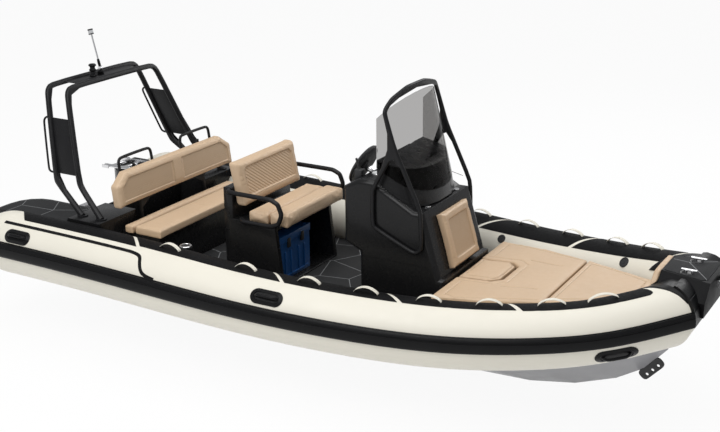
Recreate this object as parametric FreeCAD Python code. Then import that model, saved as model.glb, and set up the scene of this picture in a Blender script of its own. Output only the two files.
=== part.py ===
import FreeCAD, Part
import math
import os

# Rigid inflatable boat with a centre console, about 5.8 m long.
# X runs forward, Y to port, Z up. The origin is on the centreline at the
# waterline, in the plane of the transom's after face. All sizes in mm.

V = FreeCAD.Vector
UP = V(0, 0, 1)
ACROSS = V(0, 1, 0)

# Inflatable collar
tube_radius = 254.0
tube_half_beam = 997.0
tube_centre_z = 292.0
tube_bow_rise = 230.0
mitre_x = 5035.0
tube_shoulder_x = -150.0
cone_length = 300.0
cone_tip_radius = 120.0
skin_gap = 0.3
collar_sides = 24
# Shares of mitre_x where the collar's panels are joined
panel_joint_shares = (0.200, 0.437, 0.530, 0.610, 0.680, 0.745, 0.805, 0.860, 0.910, 0.955, 1.000)
# Share of mitre_x, tube_half_beam, tube_bow_rise and tube_radius at each station
tube_plan_shares = (
    (0.000, 1.000, 0.20, 1.000),
    (0.120, 1.000, 0.18, 1.000),
    (0.278, 1.000, 0.10, 1.000),
    (0.437, 1.000, 0.00, 0.960),
    (0.596, 0.964, 0.00, 0.930),
    (0.755, 0.831, 0.08, 0.895),
    (0.854, 0.697, 0.30, 0.855),
    (0.933, 0.534, 0.60, 0.825),
    (1.000, 0.319, 1.00, 0.820),
)
mitre_half_beam = tube_half_beam * tube_plan_shares[-1][1]
bow_tube_radius = tube_radius * tube_plan_shares[-1][3]
bow_tube_z = tube_centre_z + tube_bow_rise
cockpit_half_width = tube_half_beam - tube_radius

# Hull
stem_setback = 40.0
hull_length = mitre_x - stem_setback
keel_depth = 370.0
chine_inset = 277.0
chine_half_beam = tube_half_beam - chine_inset
chine_z = -50.0
chine_rise = 250.0
deck_z = 150.0
hull_top_inset = 137.0
hull_top_half_beam = tube_half_beam - hull_top_inset
hull_top_rise = 190.0
# Shares of hull_length, keel_depth, chine_half_beam, chine_rise,
# hull_top_half_beam and hull_top_rise at each station
hull_station_shares = (
    (0.000, 1.000, 0.980, 0.00, 1.000, 0.00),
    (0.400, 1.000, 1.000, 0.00, 1.000, 0.00),
    (0.600, 0.990, 0.950, 0.08, 0.955, 0.00),
    (0.720, 0.970, 0.850, 0.20, 0.860, 0.00),
    (0.800, 0.925, 0.735, 0.35, 0.745, 0.15),
    (0.870, 0.750, 0.600, 0.55, 0.630, 0.35),
    (0.930, 0.440, 0.430, 0.80, 0.465, 0.60),
    (0.970, 0.100, 0.260, 1.02, 0.320, 0.80),
    (1.000, -0.380, 0.110, 1.25, 0.170, 1.00),
)

# Tubes have this many flat sides, and a bend this many degrees between sections
tube_sides = 12
bend_step = 35.0

# Deck pad
pad_thickness = 8.0
pad_tuck = 47.0
pad_aft_x = 700.0
pad_front_x = 3460.0
pad_half_width = cockpit_half_width + pad_tuck

# Transom
transom_thickness = 60.0
transom_side_gap = 2.0
transom_top_z = 500.0
notch_half_width = 300.0
notch_floor_half_width = 240.0
notch_z = 265.0
bolt_radius = 6.5
bolt_half_pitch = 163.0
upper_bolt_drop = 51.0
bolt_rows_apart = 203.0

# After platforms over the collar's cones
platform_inner_y = 460.0
platform_overhang_y = 157.0
platform_outer_y = cockpit_half_width + platform_overhang_y
platform_top_z = 600.0
platform_low_z = 532.0
platform_aft_x = -480.0
platform_front_x = 700.0
platform_step_x = 340.0
platform_step_run = 30.0
platform_overhang_z = 340.0
platform_bilge_radius = 130.0
platform_corner = 240.0
platform_corner_turns = 4
platform_pad_margin = 25.0
platform_pad_thickness = 4.0
transom_half_width = platform_inner_y - transom_side_gap

# Rubbing strake and top patches, as angles round the collar and ends along X
rub_low_angle = -7.0
rub_high_angle = 22.0
rub_thickness = 24.0
rub_chords = 2
rub_aft_x = -140.0
rub_past_mitre = 60.0
rub_front_x = mitre_x + rub_past_mitre
patch_low_angle = 76.0
patch_high_angle = 129.0
patch_aft_low_angle = 93.0
patch_thickness = 4.0
patch_gap = 40.0
patch_chords = 3
patch_slant = 90.0
patch_ends_x = (-70.0, 1160.0, 2500.0, 3400.0, 4220.0, 4890.0)

# Grab loops, two on each top patch
loop_x = (1479.0, 2175.0, 2710.0, 3149.0, 3601.0, 4015.0, 4415.0, 4724.0)
loop_angle = 90.0
loop_length = 210.0
loop_height = 46.0
loop_width = 36.0
loop_thickness = 4.0
strap_flat_share = 0.24

# Lifting handles and valves
handle_x = (120.0, 2480.0, 4800.0)
handle_angle = (36.0, 40.0, -28.0)
handle_length = 290.0
handle_width = 110.0
handle_thickness = 5.0
grip_height = 34.0
grip_length = 200.0
grip_radius = 13.0
valve_x = 4600.0
valve_angle = 141.0
valve_radius = 42.0
valve_height = 7.0

# Bow platform, guard and fittings
bow_cap_aft_reach = 90.0
bow_cap_front_reach = 250.0
bow_cap_rise = 42.0
bow_cap_shoulder_drop = 104.0
bow_cap_skirt_drop = 212.0
bow_cap_aft_inset = 28.0
bow_cap_front_outset = 12.0
bow_cap_slope = 115.0
bow_cap_aft_slope = 135.0
bow_cap_aft_x = mitre_x - bow_cap_aft_reach
bow_cap_front_x = mitre_x + bow_cap_front_reach
bow_cap_top_z = bow_tube_z + bow_tube_radius + bow_cap_rise
bow_cap_shoulder_z = bow_cap_top_z - bow_cap_shoulder_drop
bow_cap_skirt_z = bow_cap_top_z - bow_cap_skirt_drop
bow_cap_aft_half_width = mitre_half_beam - bow_cap_aft_inset
bow_cap_front_half_width = mitre_half_beam + bow_cap_front_outset
bow_cap_aft_half_flat = bow_cap_aft_half_width - bow_cap_aft_slope
bow_cap_front_half_flat = bow_cap_front_half_width - bow_cap_slope
bow_cap_edge_radius = 12.0
bow_guard_thickness = rub_thickness
bow_guard_low_angle = rub_low_angle
bow_guard_high_angle = 78.0
bolster_thickness = 46.0
bow_cleat_setback = 165.0
bow_cleat_x = bow_cap_front_x - bow_cleat_setback
bow_cleat_y = 120.0
cleat_length = 105.0
cleat_radius = 8.0
cleat_post_radius = 11.0
cleat_height = 19.0
cleat_post_pitch = 44.0
roller_radius = 34.0
roller_length = 90.0
roller_reach = 50.0
roller_drop = 72.0
roller_x = bow_cap_front_x + roller_reach
roller_z = bow_cap_top_z - roller_drop
roller_pin_radius = 7.0
roller_cheek = 7.0
roller_side_gap = 0.5
roller_bracket_height = 50.0
tow_plate_thickness = 16.0
tow_plate_hole_radius = 13.0
tow_plate_pitch = 55.0
tow_hole_drop = 12.75
tow_plate_setback = 105.0
tow_plate_x = hull_length - tow_plate_setback
tow_plate_z = -30.0
tow_plate_tilt = 48.0
tow_plate_length = 210.0
tow_plate_width = 85.0

# Bow locker, its lids and the tan cushions; they rise towards the bow
locker_length = 1400.0
locker_front_reach = 155.0
locker_front_x = mitre_x - locker_front_reach
locker_aft_x = locker_front_x - locker_length
locker_top_aft_z = 405.0
locker_top_front_z = 485.0
locker_split_length = 760.0
locker_split_x = locker_aft_x + locker_split_length
lid_clear = 15.0
lid_front_x = mitre_x - bow_tube_radius - lid_clear
locker_mouth_lip = 70.0
locker_well_depth = 140.0
locker_shares = ((0.0, 0.80), (0.28, 0.72), (0.56, 0.56), (0.78, 0.40), (1.0, 0.24))
locker_tuck = 57.0
locker_half_width_scale = cockpit_half_width + locker_tuck
cushion_thickness = 58.0
lid_gap = 6.0
niche_half_width = 215.0
niche_depth = 330.0
niche_corner = 70.0
seat_gap = 0.3

# Centre console
console_half_width = 395.0
console_aft_x = 2770.0
console_bulge_aft_x = 2640.0
console_bulge_low_z = 640.0
console_bulge_high_z = 1070.0
console_dash_x = 2760.0
console_dash_z = 1140.0
binnacle_aft_x = 2890.0
binnacle_aft_top_z = 1295.0
binnacle_front_top_z = 1215.0
console_shelf_aft_x = 3215.0
console_shelf_z = 960.0
console_front_foot_x = 3470.0
console_ledge_drop = 30.0
console_edge_radius = 40.0
console_foot_recess = 60.0

# Console frame of bent tube
frame_tube_radius = 17.0
frame_tube_diameter = 2 * frame_tube_radius
frame_bend = 60.0
frame_half_width = 412.0
frame_top_z = 1800.0
frame_top_x = 3028.0
frame_top_turns = 5
frame_shoulder_z = 1670.0
frame_shoulder_x = 2992.0
frame_knee_x = 3078.0
frame_knee_z = 1410.0
frame_foot_x = 3285.0
frame_foot_z = 985.0
frame_loop_aft_x = 2895.0
frame_loop_aft_high_z = 1085.0
frame_loop_aft_low_z = 805.0
frame_loop_front_x = 3300.0
frame_loop_front_z = 628.0

# Windscreen
screen_thickness = 6.0
screen_aft_x = 2905.0
screen_half_width = 366.0
screen_front_base_x = 3275.0
screen_front_top_x = 3085.0
screen_base_z = 1020.0
screen_top_z = 1765.0
screen_peak_z = 1940.0
screen_side_top_z = 1600.0
screen_side_low_z = 1237.0
screen_front_low_z = 1050.0
screen_crown = 178.0
screen_chords = 10

# Steering wheel and column
wheel_radius = 156.0
wheel_rim_radius = 15.0
wheel_hub_radius = 46.0
wheel_hub_length = 34.0
wheel_spoke_half_width = 14.0
wheel_spoke_thickness = 8.0
wheel_spokes = 3
spoke_turn = 7.5
rim_sides = 6
rim_segments = 28
hub_back_share = 0.75
wheel_x = 2590.0
wheel_z = 1128.0
wheel_tilt = 28.0
column_radius = 26.0
column_gap = 0.4
lever_x = 2700.0
lever_y = -250.0

# Console front seat back, a hinged tan door
front_back_half_width = 222.0
front_back_top_x = 3356.0
front_back_top_z = 925.0
front_back_low_x = 3478.0
front_back_low_z = 515.0
front_back_thickness = 55.0
front_back_recess = 12.0
front_back_margin = 70.0
door_pin_radius = 5.0
door_pin_clear = 9.0
door_pin_lift = 15.0

# Helm seat
helm_base_aft_x = 1560.0
helm_base_front_x = 2090.0
helm_base_front_top_x = 2030.0
helm_base_half_width = 408.0
helm_base_top_z = 655.0
helm_base_back_z = 905.0
helm_wall = 42.0
cooler_gap = 6.0
cooler_length = 385.0
cooler_width = 440.0
helm_niche_aft_x = 1640.0
helm_floor = 12.0
cooler_height = 370.0
cooler_lid_height = 60.0
cooler_lid_overhang = 9.0
helm_cushion_aft_x = 1790.0
helm_cushion_front_x = 2160.0
helm_bolster_x = 1985.0
helm_cushion_thickness = 92.0
helm_bolster_thickness = 110.0
helm_hinge_lift = 0.3
helm_cushion_half_width = 418.0
helm_back_low_x = 1768.0
helm_back_low_z = 758.0
helm_back_top_x = 1690.0
helm_back_top_z = 1115.0
helm_back_thickness = 95.0
helm_back_half_width = 410.0
helm_back_slope = (helm_back_low_x - helm_back_top_x) / (helm_back_top_z - helm_back_low_z)
helm_base_back_x = (helm_back_low_x - helm_back_thickness - seat_gap
                    - helm_back_slope * (helm_base_back_z - helm_back_low_z))
arm_radius = 19.0
arm_bend = 26.0
arm_sweep = 95.0
arm_half_width = 452.0
arm_top_z = 885.0
arm_low_z = 668.0
arm_aft_x = 1775.0
arm_front_x = 2125.0
small_loop_height = 60.0
small_loop_inset = 30.0
small_loop_half_width = 224.0
arm_tuck = 40.0

# After bench
bench_base_aft_x = 700.0
bench_base_front_x = 1080.0
bench_base_top_z = 475.0
bench_side_clear = 103.0
bench_half_width = cockpit_half_width - bench_side_clear
bench_wall = 25.0
well_board_x = 400.0
bench_cushion_thickness = 70.0
bench_cushion_aft_x = 765.0
bench_cushion_front_x = 1135.0
bench_lid_aft_x = 860.0
bench_cushion_overhang = 50.0
bench_cushion_half_width = bench_half_width + bench_cushion_overhang
bench_back_overhang = 122.0
bench_back_half_width = bench_half_width + bench_back_overhang
bench_back_low_z = 690.0
bench_back_top_z = 975.0
bench_back_x = 805.0
bench_back_lean = 35.0
bench_back_thickness = 85.0
bench_back_chamfer = 135.0
bench_back_chamfer_height = 100.0
rail_radius = 13.0
rail_bend = 45.0
rail_height = 80.0
rail_near_y = 190.0
rail_far_y = 590.0
support_y = 420.0

# Arch
arch_tube_radius = 25.0
arch_bend = 95.0
arch_top_z = 1560.0
arch_top_lean = 255.0
arch_front_top_x = 135.0
arch_aft_top_x = -80.0
arch_knee_z = 830.0
arch_knee_lean = 62.0
arch_front_knee_x = 370.0
arch_aft_knee_x = 125.0
arch_front_foot_x = 635.0
arch_aft_foot_x = 437.0
arch_foot_inset = 100.0
arch_foot_half_width = platform_outer_y - arch_foot_inset
arch_knee_half_width = arch_foot_half_width - arch_knee_lean
arch_top_half_width = arch_foot_half_width - arch_top_lean
arch_foot_radius = 45.0
arch_foot_thickness = 9.0
arch_plate_thickness = 5.0
arch_plate_half_width = 370.0
side_plate_top_z = 1320.0
side_plate_low_z = 800.0
outer_rail_radius = 9.0
outer_rail_stand_off = 75.0
outer_rail_bend = 40.0

# Light mast on the arch plate
mast_foot_x = 10.0
mast_base_radius = 24.0
mast_pivot_height = 52.0
mast_pole_radius = 8.0
mast_length = 290.0
mast_rake = 14.0
mast_light_radius = 19.0
mast_light_height = 42.0
mast_knob_radius = 17.0
mast_gap = 0.5
beacon_y = -95.0
beacon_radius = 22.0
beacon_height = 95.0

# Boarding ladder on the port platform
ladder_side_clear = 40.0
ladder_half_width = 130.0
ladder_tube_radius = 12.0
ladder_y = platform_inner_y + ladder_side_clear + ladder_half_width
ladder_bend = 36.0
ladder_length = 420.0
ladder_rungs = 3
ladder_first_share = 0.6
ladder_hinge_reach = 20.0
ladder_hinge_x = platform_aft_x - ladder_hinge_reach
ladder_lift = 6.0
ladder_cheek = 6.0
ladder_bracket_reach = 45.0
ladder_cheek_gap = 5.5
ladder_boss_radius = 9.0
shelf_cleat_y = 234.0
lever_half = 30.0
lever_reach = 110.0
lever_radius = 8.5
overrun = 50.0
flatness = 0.0000001


def block(x0, x1, y0, y1, z0, z1):
    return Part.makeBox(x1 - x0, y1 - y0, z1 - z0, V(x0, y0, z0))


def mirrored(shape):
    return shape.mirror(V(0, 0, 0), ACROSS)


def upright(shape):
    if shape.Volume < 0:
        shape.reverse()
    return shape


def prism(points, along):
    face = Part.Face(Part.makePolygon(list(points) + [points[0]]))
    return upright(face.extrude(along))


def side_prism(outline, y0, y1):
    return prism([V(x, y0, z) for x, z in outline], V(0, y1 - y0, 0))


def plan_prism(outline, z0, z1):
    return prism([V(x, y, z0) for x, y in outline], V(0, 0, z1 - z0))


def front_prism(outline, x0, x1):
    return prism([V(x0, y, z) for y, z in outline], V(x1 - x0, 0, 0))


def rod(start, end, radius):
    along = end - start
    return Part.makeCylinder(radius, along.Length, start, along)


def softened(shape, radius, chosen):
    edges = [edge for edge in shape.Edges if chosen(edge)]
    return shape.makeFillet(radius, edges)


def runs_along(edge, direction):
    first = edge.Vertexes[0].Point
    last = edge.Vertexes[-1].Point
    run = last - first
    if run.Length == 0:
        return False
    return abs(run.normalize().dot(direction)) > 0.999


def flat_face(corners):
    return Part.Face(Part.makePolygon(corners + [corners[0]]))


def panel(a, b, c, d):
    """One flat face between four corners, or two that fold outward where they don't lie in a plane."""
    normal = (b - a).cross(c - a).normalize()
    off = (d - a).dot(normal)
    if abs(off) < flatness:
        return [flat_face([a, b, c, d])]
    if off < 0:
        return [flat_face([a, b, c]), flat_face([a, c, d])]
    return [flat_face([a, b, d]), flat_face([b, c, d])]


def skinned(rings):
    """A solid with flat panels from ring to ring and a flat face at each end."""
    faces = [flat_face(rings[0]), flat_face(rings[-1])]
    for low, high in zip(rings, rings[1:]):
        for i in range(len(low)):
            faces += panel(low[i - 1], low[i], high[i], high[i - 1])
    shell = Part.makeShell(faces)
    shell.sewShape()
    return upright(Part.makeSolid(shell))


def ring_points(centre, start, along, radius):
    turn = 360.0 / tube_sides
    side = (start - along * start.dot(along)).normalize()
    corners = [FreeCAD.Rotation(along, turn * i).multVec(side) for i in range(tube_sides)]
    return side, [centre + corner * radius for corner in corners]


def path_stops(points, bend):
    stops = [(points[0], (points[1] - points[0]).normalize())]
    for before, corner, after in zip(points, points[1:], points[2:]):
        into = (corner - before).normalize()
        away = (after - corner).normalize()
        turn = into.getAngle(away)
        arc_start = corner - into * (bend * math.tan(turn / 2))
        axis = into.cross(away).normalize()
        hub = arc_start + axis.cross(into) * bend
        steps = max(1, math.ceil(math.degrees(turn) / bend_step))
        for i in range(steps + 1):
            part_turn = FreeCAD.Rotation(axis, math.degrees(turn) * i / steps)
            stops.append((hub + part_turn.multVec(arc_start - hub), part_turn.multVec(into)))
    stops.append((points[-1], (points[-1] - points[-2]).normalize()))
    return stops


def bent_tube(points, radius, bend):
    rings = []
    first = (points[1] - points[0]).normalize()
    side = UP
    if abs(first.dot(UP)) > 0.9:
        side = ACROSS
    for centre, along in path_stops(points, bend):
        side, corners = ring_points(centre, side, along, radius)
        rings.append(corners)
    return skinned(rings)


def round_bar(start, end, radius):
    return bent_tube([start, end], radius, radius)


def fused(pieces):
    whole = pieces[0]
    if len(pieces) > 1:
        whole = pieces[0].fuse(pieces[1:])
    return whole.removeSplitter()


def smooth_curve(points):
    curve = Part.BSplineCurve()
    curve.interpolate(points)
    return curve


def collar_point(shares):
    x, y, rise, _ = shares
    return V(x * mitre_x, y * tube_half_beam, tube_centre_z + rise * tube_bow_rise)


centre_curve = smooth_curve([collar_point(shares) for shares in tube_plan_shares])
radius_curve = smooth_curve([V(s[0] * mitre_x, s[3] * tube_radius, 0) for s in tube_plan_shares])


def curve_at(curve, x):
    low = curve.FirstParameter
    high = curve.LastParameter
    for _ in range(50):
        middle = (low + high) / 2
        if curve.value(middle).x < x:
            low = middle
        else:
            high = middle
    return (low + high) / 2


def smooth_frame(x):
    parameter = curve_at(centre_curve, max(x, 0))
    centre = centre_curve.value(parameter)
    along = centre_curve.tangent(parameter)[0]
    centre = centre + along * ((x - centre.x) / along.x)
    out = UP.cross(along).normalize()
    radius = radius_curve.value(curve_at(radius_curve, max(x, 0))).y
    return centre, along, out * radius, along.cross(out) * radius


panel_joints = [smooth_frame(tube_shoulder_x)]
panel_joints += [smooth_frame(share * mitre_x) for share in panel_joint_shares]


def collar_frame(x):
    for before, after in zip(panel_joints, panel_joints[1:]):
        if x <= after[0].x:
            break
    share = (x - before[0].x) / (after[0].x - before[0].x)
    centre, along, out, lift = [low * (1 - share) + high * share for low, high in zip(before, after)]
    return centre, along.normalize(), out, lift


def collar_surface(x, angle, proud):
    centre, along, out, lift = collar_frame(x)
    turn = math.radians(angle)
    spoke = out * math.cos(turn) + lift * math.sin(turn)
    normal = V(spoke).normalize()
    return centre + spoke + normal * proud, along, normal


def collar_ring(centre, out, lift):
    turns = [2 * math.pi * i / collar_sides for i in range(collar_sides)]
    return [centre + out * math.cos(turn) + lift * math.sin(turn) for turn in turns]


def joints_between(first_x, last_x):
    between = [frame[0].x for frame in panel_joints if first_x < frame[0].x < last_x]
    return [first_x] + between + [last_x]


def mitre_cutter():
    centre, along = collar_frame(mitre_x)[:2]
    flat = V(along.x, along.y, 0).normalize()
    crease = (V(0, -1, 0) - flat).normalize()
    normal = UP.cross(crease).normalize()
    size = 6 * tube_radius
    corner = centre - crease * size / 2 - UP * size / 2
    face = Part.makePolygon([corner, corner + crease * size, corner + crease * size + UP * size,
                             corner + UP * size, corner])
    ahead = normal * size
    if normal.dot(flat) < 0:
        ahead = normal * -size
    return upright(Part.Face(face).extrude(ahead))


def side_tube():
    centre, along, out, lift = panel_joints[0]
    tip = cone_tip_radius / out.Length
    rings = [collar_ring(centre - along * cone_length, out * tip, lift * tip)]
    rings += [collar_ring(centre, out, lift) for centre, _, out, lift in panel_joints]
    centre, along, out, lift = panel_joints[-1]
    rings.append(collar_ring(centre + along * tube_radius, out, lift))
    return skinned(rings).cut(mitre_cutter())


def bow_tube():
    centre, _, out, _ = panel_joints[-1]
    reach = mitre_half_beam + 2 * tube_radius
    start = V(centre.x, -reach, centre.z)
    ring = collar_ring(start, V(out.Length, 0, 0), V(0, 0, out.Length))
    keep = mitre_cutter()
    both = upright(flat_face(ring).extrude(V(0, 2 * reach, 0))).common(keep)
    return both.common(mirrored(keep))


def chord_stretch(low_angle, high_angle, chords):
    return 1 / math.cos(math.radians((high_angle - low_angle) / chords / 2)) - 1


def collar_band(first_x, last_x, low_angle, high_angle, thickness, chords):
    step = (high_angle - low_angle) / chords
    angles = [low_angle + step * i for i in range(chords + 1)]
    stretch = chord_stretch(low_angle, high_angle, chords)
    rings = []
    for x in joints_between(first_x, last_x):
        spread = stretch * collar_frame(x)[2].Length
        inner = [collar_surface(x, angle, skin_gap + spread)[0] for angle in angles]
        outer = [collar_surface(x, angle, thickness + spread)[0] for angle in reversed(angles)]
        rings.append(inner + outer)
    return skinned(rings)


def hull_section(shares):
    x_share, keel, chine_out, chine_up, top_out, top_up = shares
    x = x_share * hull_length
    chine_y = chine_out * chine_half_beam
    chine_height = chine_z + chine_up * chine_rise
    top_y = top_out * hull_top_half_beam
    top_height = deck_z + top_up * hull_top_rise
    return [
        V(x, 0, -keel * keel_depth),
        V(x, chine_y, chine_height),
        V(x, top_y, top_height),
        V(x, -top_y, top_height),
        V(x, -chine_y, chine_height),
    ]


def hull_form():
    return skinned([hull_section(shares) for shares in hull_station_shares])


def hull_solid(collar):
    return hull_form().cut(collar + lower_bolts())


def bolt_row(z, length):
    return [rod(V(-overrun, y, z), V(length, y, z), bolt_radius) for y in (-bolt_half_pitch, bolt_half_pitch)]


def lower_bolts():
    return bolt_row(notch_z - upper_bolt_drop - bolt_rows_apart, transom_thickness)


def transom_solid():
    outline = [
        (-transom_half_width, deck_z), (-transom_half_width, transom_top_z),
        (-notch_half_width, transom_top_z), (-notch_floor_half_width, notch_z),
        (notch_floor_half_width, notch_z), (notch_half_width, transom_top_z),
        (transom_half_width, transom_top_z), (transom_half_width, deck_z),
    ]
    board = front_prism(outline, 0, transom_thickness)
    return board.cut(bolt_row(notch_z - upper_bolt_drop, transom_thickness + overrun))


def platform_corner_arc(aft_x, inner_y, radius):
    turns = [math.pi / 2 * i / platform_corner_turns for i in range(platform_corner_turns + 1)]
    return [(aft_x + radius * (1 - math.cos(turn)), inner_y + radius * (1 - math.sin(turn)))
            for turn in turns]


def platform_solid(port_tube, aft_patch):
    side = [
        (platform_aft_x, platform_low_z), (platform_step_x, platform_low_z),
        (platform_step_x + platform_step_run, platform_top_z), (platform_front_x, platform_top_z),
        (platform_front_x, deck_z), (0, deck_z),
        (0, platform_overhang_z), (platform_aft_x, platform_overhang_z),
    ]
    plan = platform_corner_arc(platform_aft_x, platform_inner_y, platform_corner) + [
        (platform_front_x, platform_inner_y),
        (platform_front_x, platform_outer_y),
        (platform_aft_x, platform_outer_y),
    ]
    body = side_prism(side, platform_inner_y, platform_outer_y)

    def bilge(edge):
        low = edge.BoundBox
        aft = low.XMax < platform_aft_x + seat_gap
        return aft and runs_along(edge, ACROSS) and low.ZMax < platform_overhang_z + seat_gap

    body = softened(body, platform_bilge_radius, bilge)
    body = body.common(plan_prism(plan, deck_z, platform_top_z))
    return body.cut([port_tube, aft_patch])


def platform_pad(port_tube, aft_patch):
    near = platform_inner_y + platform_pad_margin
    aft = platform_aft_x + platform_pad_margin
    far = platform_outer_y - platform_pad_margin
    front = platform_step_x - platform_pad_margin
    plan = platform_corner_arc(aft, near, platform_corner) + [(front, near), (front, far), (aft, far)]
    slab = plan_prism(plan, platform_low_z, platform_low_z + platform_pad_thickness)
    return slab.cut([port_tube, aft_patch])


def deck_pad(collar):
    plan = [
        (transom_thickness, -platform_inner_y), (pad_aft_x, -platform_inner_y),
        (pad_aft_x, -pad_half_width), (pad_front_x, -pad_half_width),
        (pad_front_x, pad_half_width), (pad_aft_x, pad_half_width),
        (pad_aft_x, platform_inner_y), (transom_thickness, platform_inner_y),
    ]
    return plan_prism(plan, deck_z, deck_z + pad_thickness).cut(collar)


def slanted_block(x_outboard, length):
    outer = tube_half_beam + 2 * tube_radius
    inner = 0
    slope = patch_slant / tube_radius
    shift = slope * (outer - inner) / 2
    plan = [
        (x_outboard + shift, outer), (x_outboard + length + shift, outer),
        (x_outboard + length - shift, inner), (x_outboard - shift, inner),
    ]
    return plan_prism(plan, 0, 2 * bow_cap_top_z)


def slant_at(x):
    centre = collar_frame(x)[0]
    middle = (tube_half_beam + 2 * tube_radius) / 2
    return x + (middle - centre.y) * patch_slant / tube_radius


def top_patches():
    aft_end, first_gap = patch_ends_x[0], patch_ends_x[1]
    reach = hull_length
    aft = collar_band(aft_end, first_gap + patch_slant, patch_aft_low_angle, patch_high_angle,
                      patch_thickness, patch_chords)
    aft = aft.cut(slanted_block(slant_at(first_gap), reach))
    rest = collar_band(first_gap - patch_slant, patch_ends_x[-1], patch_low_angle, patch_high_angle,
                       patch_thickness, patch_chords)
    rest = rest.cut(slanted_block(slant_at(first_gap) + patch_gap - reach, reach))
    for x in patch_ends_x[2:-1]:
        rest = rest.cut(slanted_block(slant_at(x), patch_gap))
    return [aft] + rest.Solids


def rubstrake():
    band = collar_band(rub_aft_x, rub_front_x, rub_low_angle, rub_high_angle, rub_thickness, rub_chords)
    return band.cut(mitre_cutter())


def strap_arch(foot, along, normal, width, length, height, thickness):
    side = along.cross(normal).normalize()
    start = foot - side * (width / 2)
    flat = length * strap_flat_share
    outer = [(-length / 2, 0), (-flat, height), (flat, height), (length / 2, 0)]
    inset = thickness / math.sin(math.atan2(height, length / 2 - flat))
    inner = [(length / 2 - inset, 0), (flat - thickness / 2, height - thickness),
             (-flat + thickness / 2, height - thickness), (-length / 2 + inset, 0)]
    return prism([start + along * run + normal * rise for run, rise in outer + inner], side * width)


def grab_loop(x):
    stretch = chord_stretch(patch_low_angle, patch_high_angle, patch_chords)
    proud = patch_thickness + stretch * collar_frame(x)[2].Length
    foot, along, normal = collar_surface(x, loop_angle, proud)
    return strap_arch(foot, along, normal, loop_width, loop_length, loop_height, loop_thickness)


def handle(x, angle):
    foot, along, normal = collar_surface(x, angle, handle_thickness)
    side = along.cross(normal).normalize()
    half = handle_length / 2
    wide = handle_width / 2
    spread = math.degrees(handle_width / tube_radius)
    base = collar_band(x - half - wide, x + half + wide, angle - spread, angle + spread, handle_thickness,
                       rub_chords)
    corner = handle_width / 3
    outline = [(-half, corner - wide), (corner - half, -wide), (half - corner, -wide), (half, corner - wide),
               (half, wide - corner), (half - corner, wide), (corner - half, wide), (-half, wide - corner)]
    low = foot - normal * handle_width
    corners = [low + along * run + side * rise for run, rise in outline]
    plate = base.common(prism(corners, normal * 2 * handle_width))
    grip = strap_arch(foot + normal * seat_gap, along, normal, 2 * grip_radius, grip_length, grip_height,
                      grip_radius)
    return [plate, grip.cut(plate)]


def valve(port_tube):
    seat, _, normal = collar_surface(valve_x, valve_angle, 0)
    cap = round_bar(seat - normal * valve_radius, seat + normal * valve_height, valve_radius)
    return cap.cut(port_tube)


def bow_cap_section(x, half_flat, half_width, drop):
    return [
        V(x, -half_width, bow_cap_skirt_z), V(x, -half_width, bow_cap_shoulder_z - drop),
        V(x, -half_flat, bow_cap_top_z - drop), V(x, half_flat, bow_cap_top_z - drop),
        V(x, half_width, bow_cap_shoulder_z - drop), V(x, half_width, bow_cap_skirt_z),
    ]


def bow_cap(collar, guard):
    sections = [
        bow_cap_section(bow_cap_aft_x, bow_cap_aft_half_flat, bow_cap_aft_half_width, 0),
        bow_cap_section(bow_cap_front_x, bow_cap_front_half_flat, bow_cap_front_half_width,
                        bow_cap_edge_radius),
    ]
    return skinned(sections).cut(collar + [guard])


def bow_guard():
    centre, _, out, _ = collar_frame(mitre_x)
    radius = out.Length
    reach = mitre_half_beam + 3 * tube_radius
    start = V(centre.x, -reach, centre.z)
    full = radius + bow_guard_thickness
    across = V(0, 2 * reach, 0)
    outer = upright(flat_face(collar_ring(start, V(full, 0, 0), V(0, 0, full))).extrude(across))
    inner = upright(flat_face(collar_ring(start, V(radius, 0, 0), V(0, 0, radius))).extrude(across))
    keep = mitre_cutter()
    shell = outer.cut(inner).common(keep).common(mirrored(keep))
    low = centre.z + full * math.sin(math.radians(bow_guard_low_angle))
    high = centre.z + full * math.sin(math.radians(bow_guard_high_angle))
    window = block(centre.x + full * math.cos(math.radians(bow_guard_high_angle)), centre.x + 2 * full,
                   -reach, reach, low, high)
    return shell.common(window)


def cleat(x, y, carrier):
    z = bow_cap_top_z
    foot = z - bow_cap_edge_radius
    posts = [round_bar(V(x + dx, y, foot), V(x + dx, y, z + cleat_height), cleat_post_radius)
             for dx in (-cleat_post_pitch / 2, cleat_post_pitch / 2)]
    top = z + cleat_height
    bar = round_bar(V(x - cleat_length / 2, y, top), V(x + cleat_length / 2, y, top), cleat_radius)
    return fused(posts + [bar]).cut(carrier)


def bow_roller():
    starboard = V(roller_x, -roller_length / 2, roller_z)
    port = V(roller_x, roller_length / 2, roller_z)
    return round_bar(starboard, port, roller_radius).cut(round_bar(starboard, port, roller_pin_radius))


def bow_roller_bracket():
    inner = roller_length / 2 + roller_side_gap
    pieces = [round_bar(V(roller_x, -inner, roller_z), V(roller_x, inner, roller_z),
                        roller_pin_radius - roller_side_gap)]
    for side in (-1, 1):
        low_y, high_y = sorted((side * inner, side * (inner + roller_cheek)))
        pieces.append(block(bow_cap_front_x, roller_x + roller_pin_radius * 2, low_y, high_y,
                            roller_z - roller_bracket_height / 2, roller_z + roller_bracket_height / 2))
    return fused(pieces)


def tow_plate():
    half = tow_plate_length / 2
    wide = tow_plate_width / 2
    plate = block(-half, half, -tow_plate_thickness / 2, tow_plate_thickness / 2, -wide, wide)
    for step in (-1, 0, 1):
        x = step * tow_plate_pitch
        hole = rod(V(x, -overrun, -tow_hole_drop), V(x, overrun, -tow_hole_drop), tow_plate_hole_radius)
        plate = plate.cut(hole)
    plate.rotate(V(0, 0, 0), ACROSS, -tow_plate_tilt)
    plate.translate(V(tow_plate_x, 0, tow_plate_z))
    return plate


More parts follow.
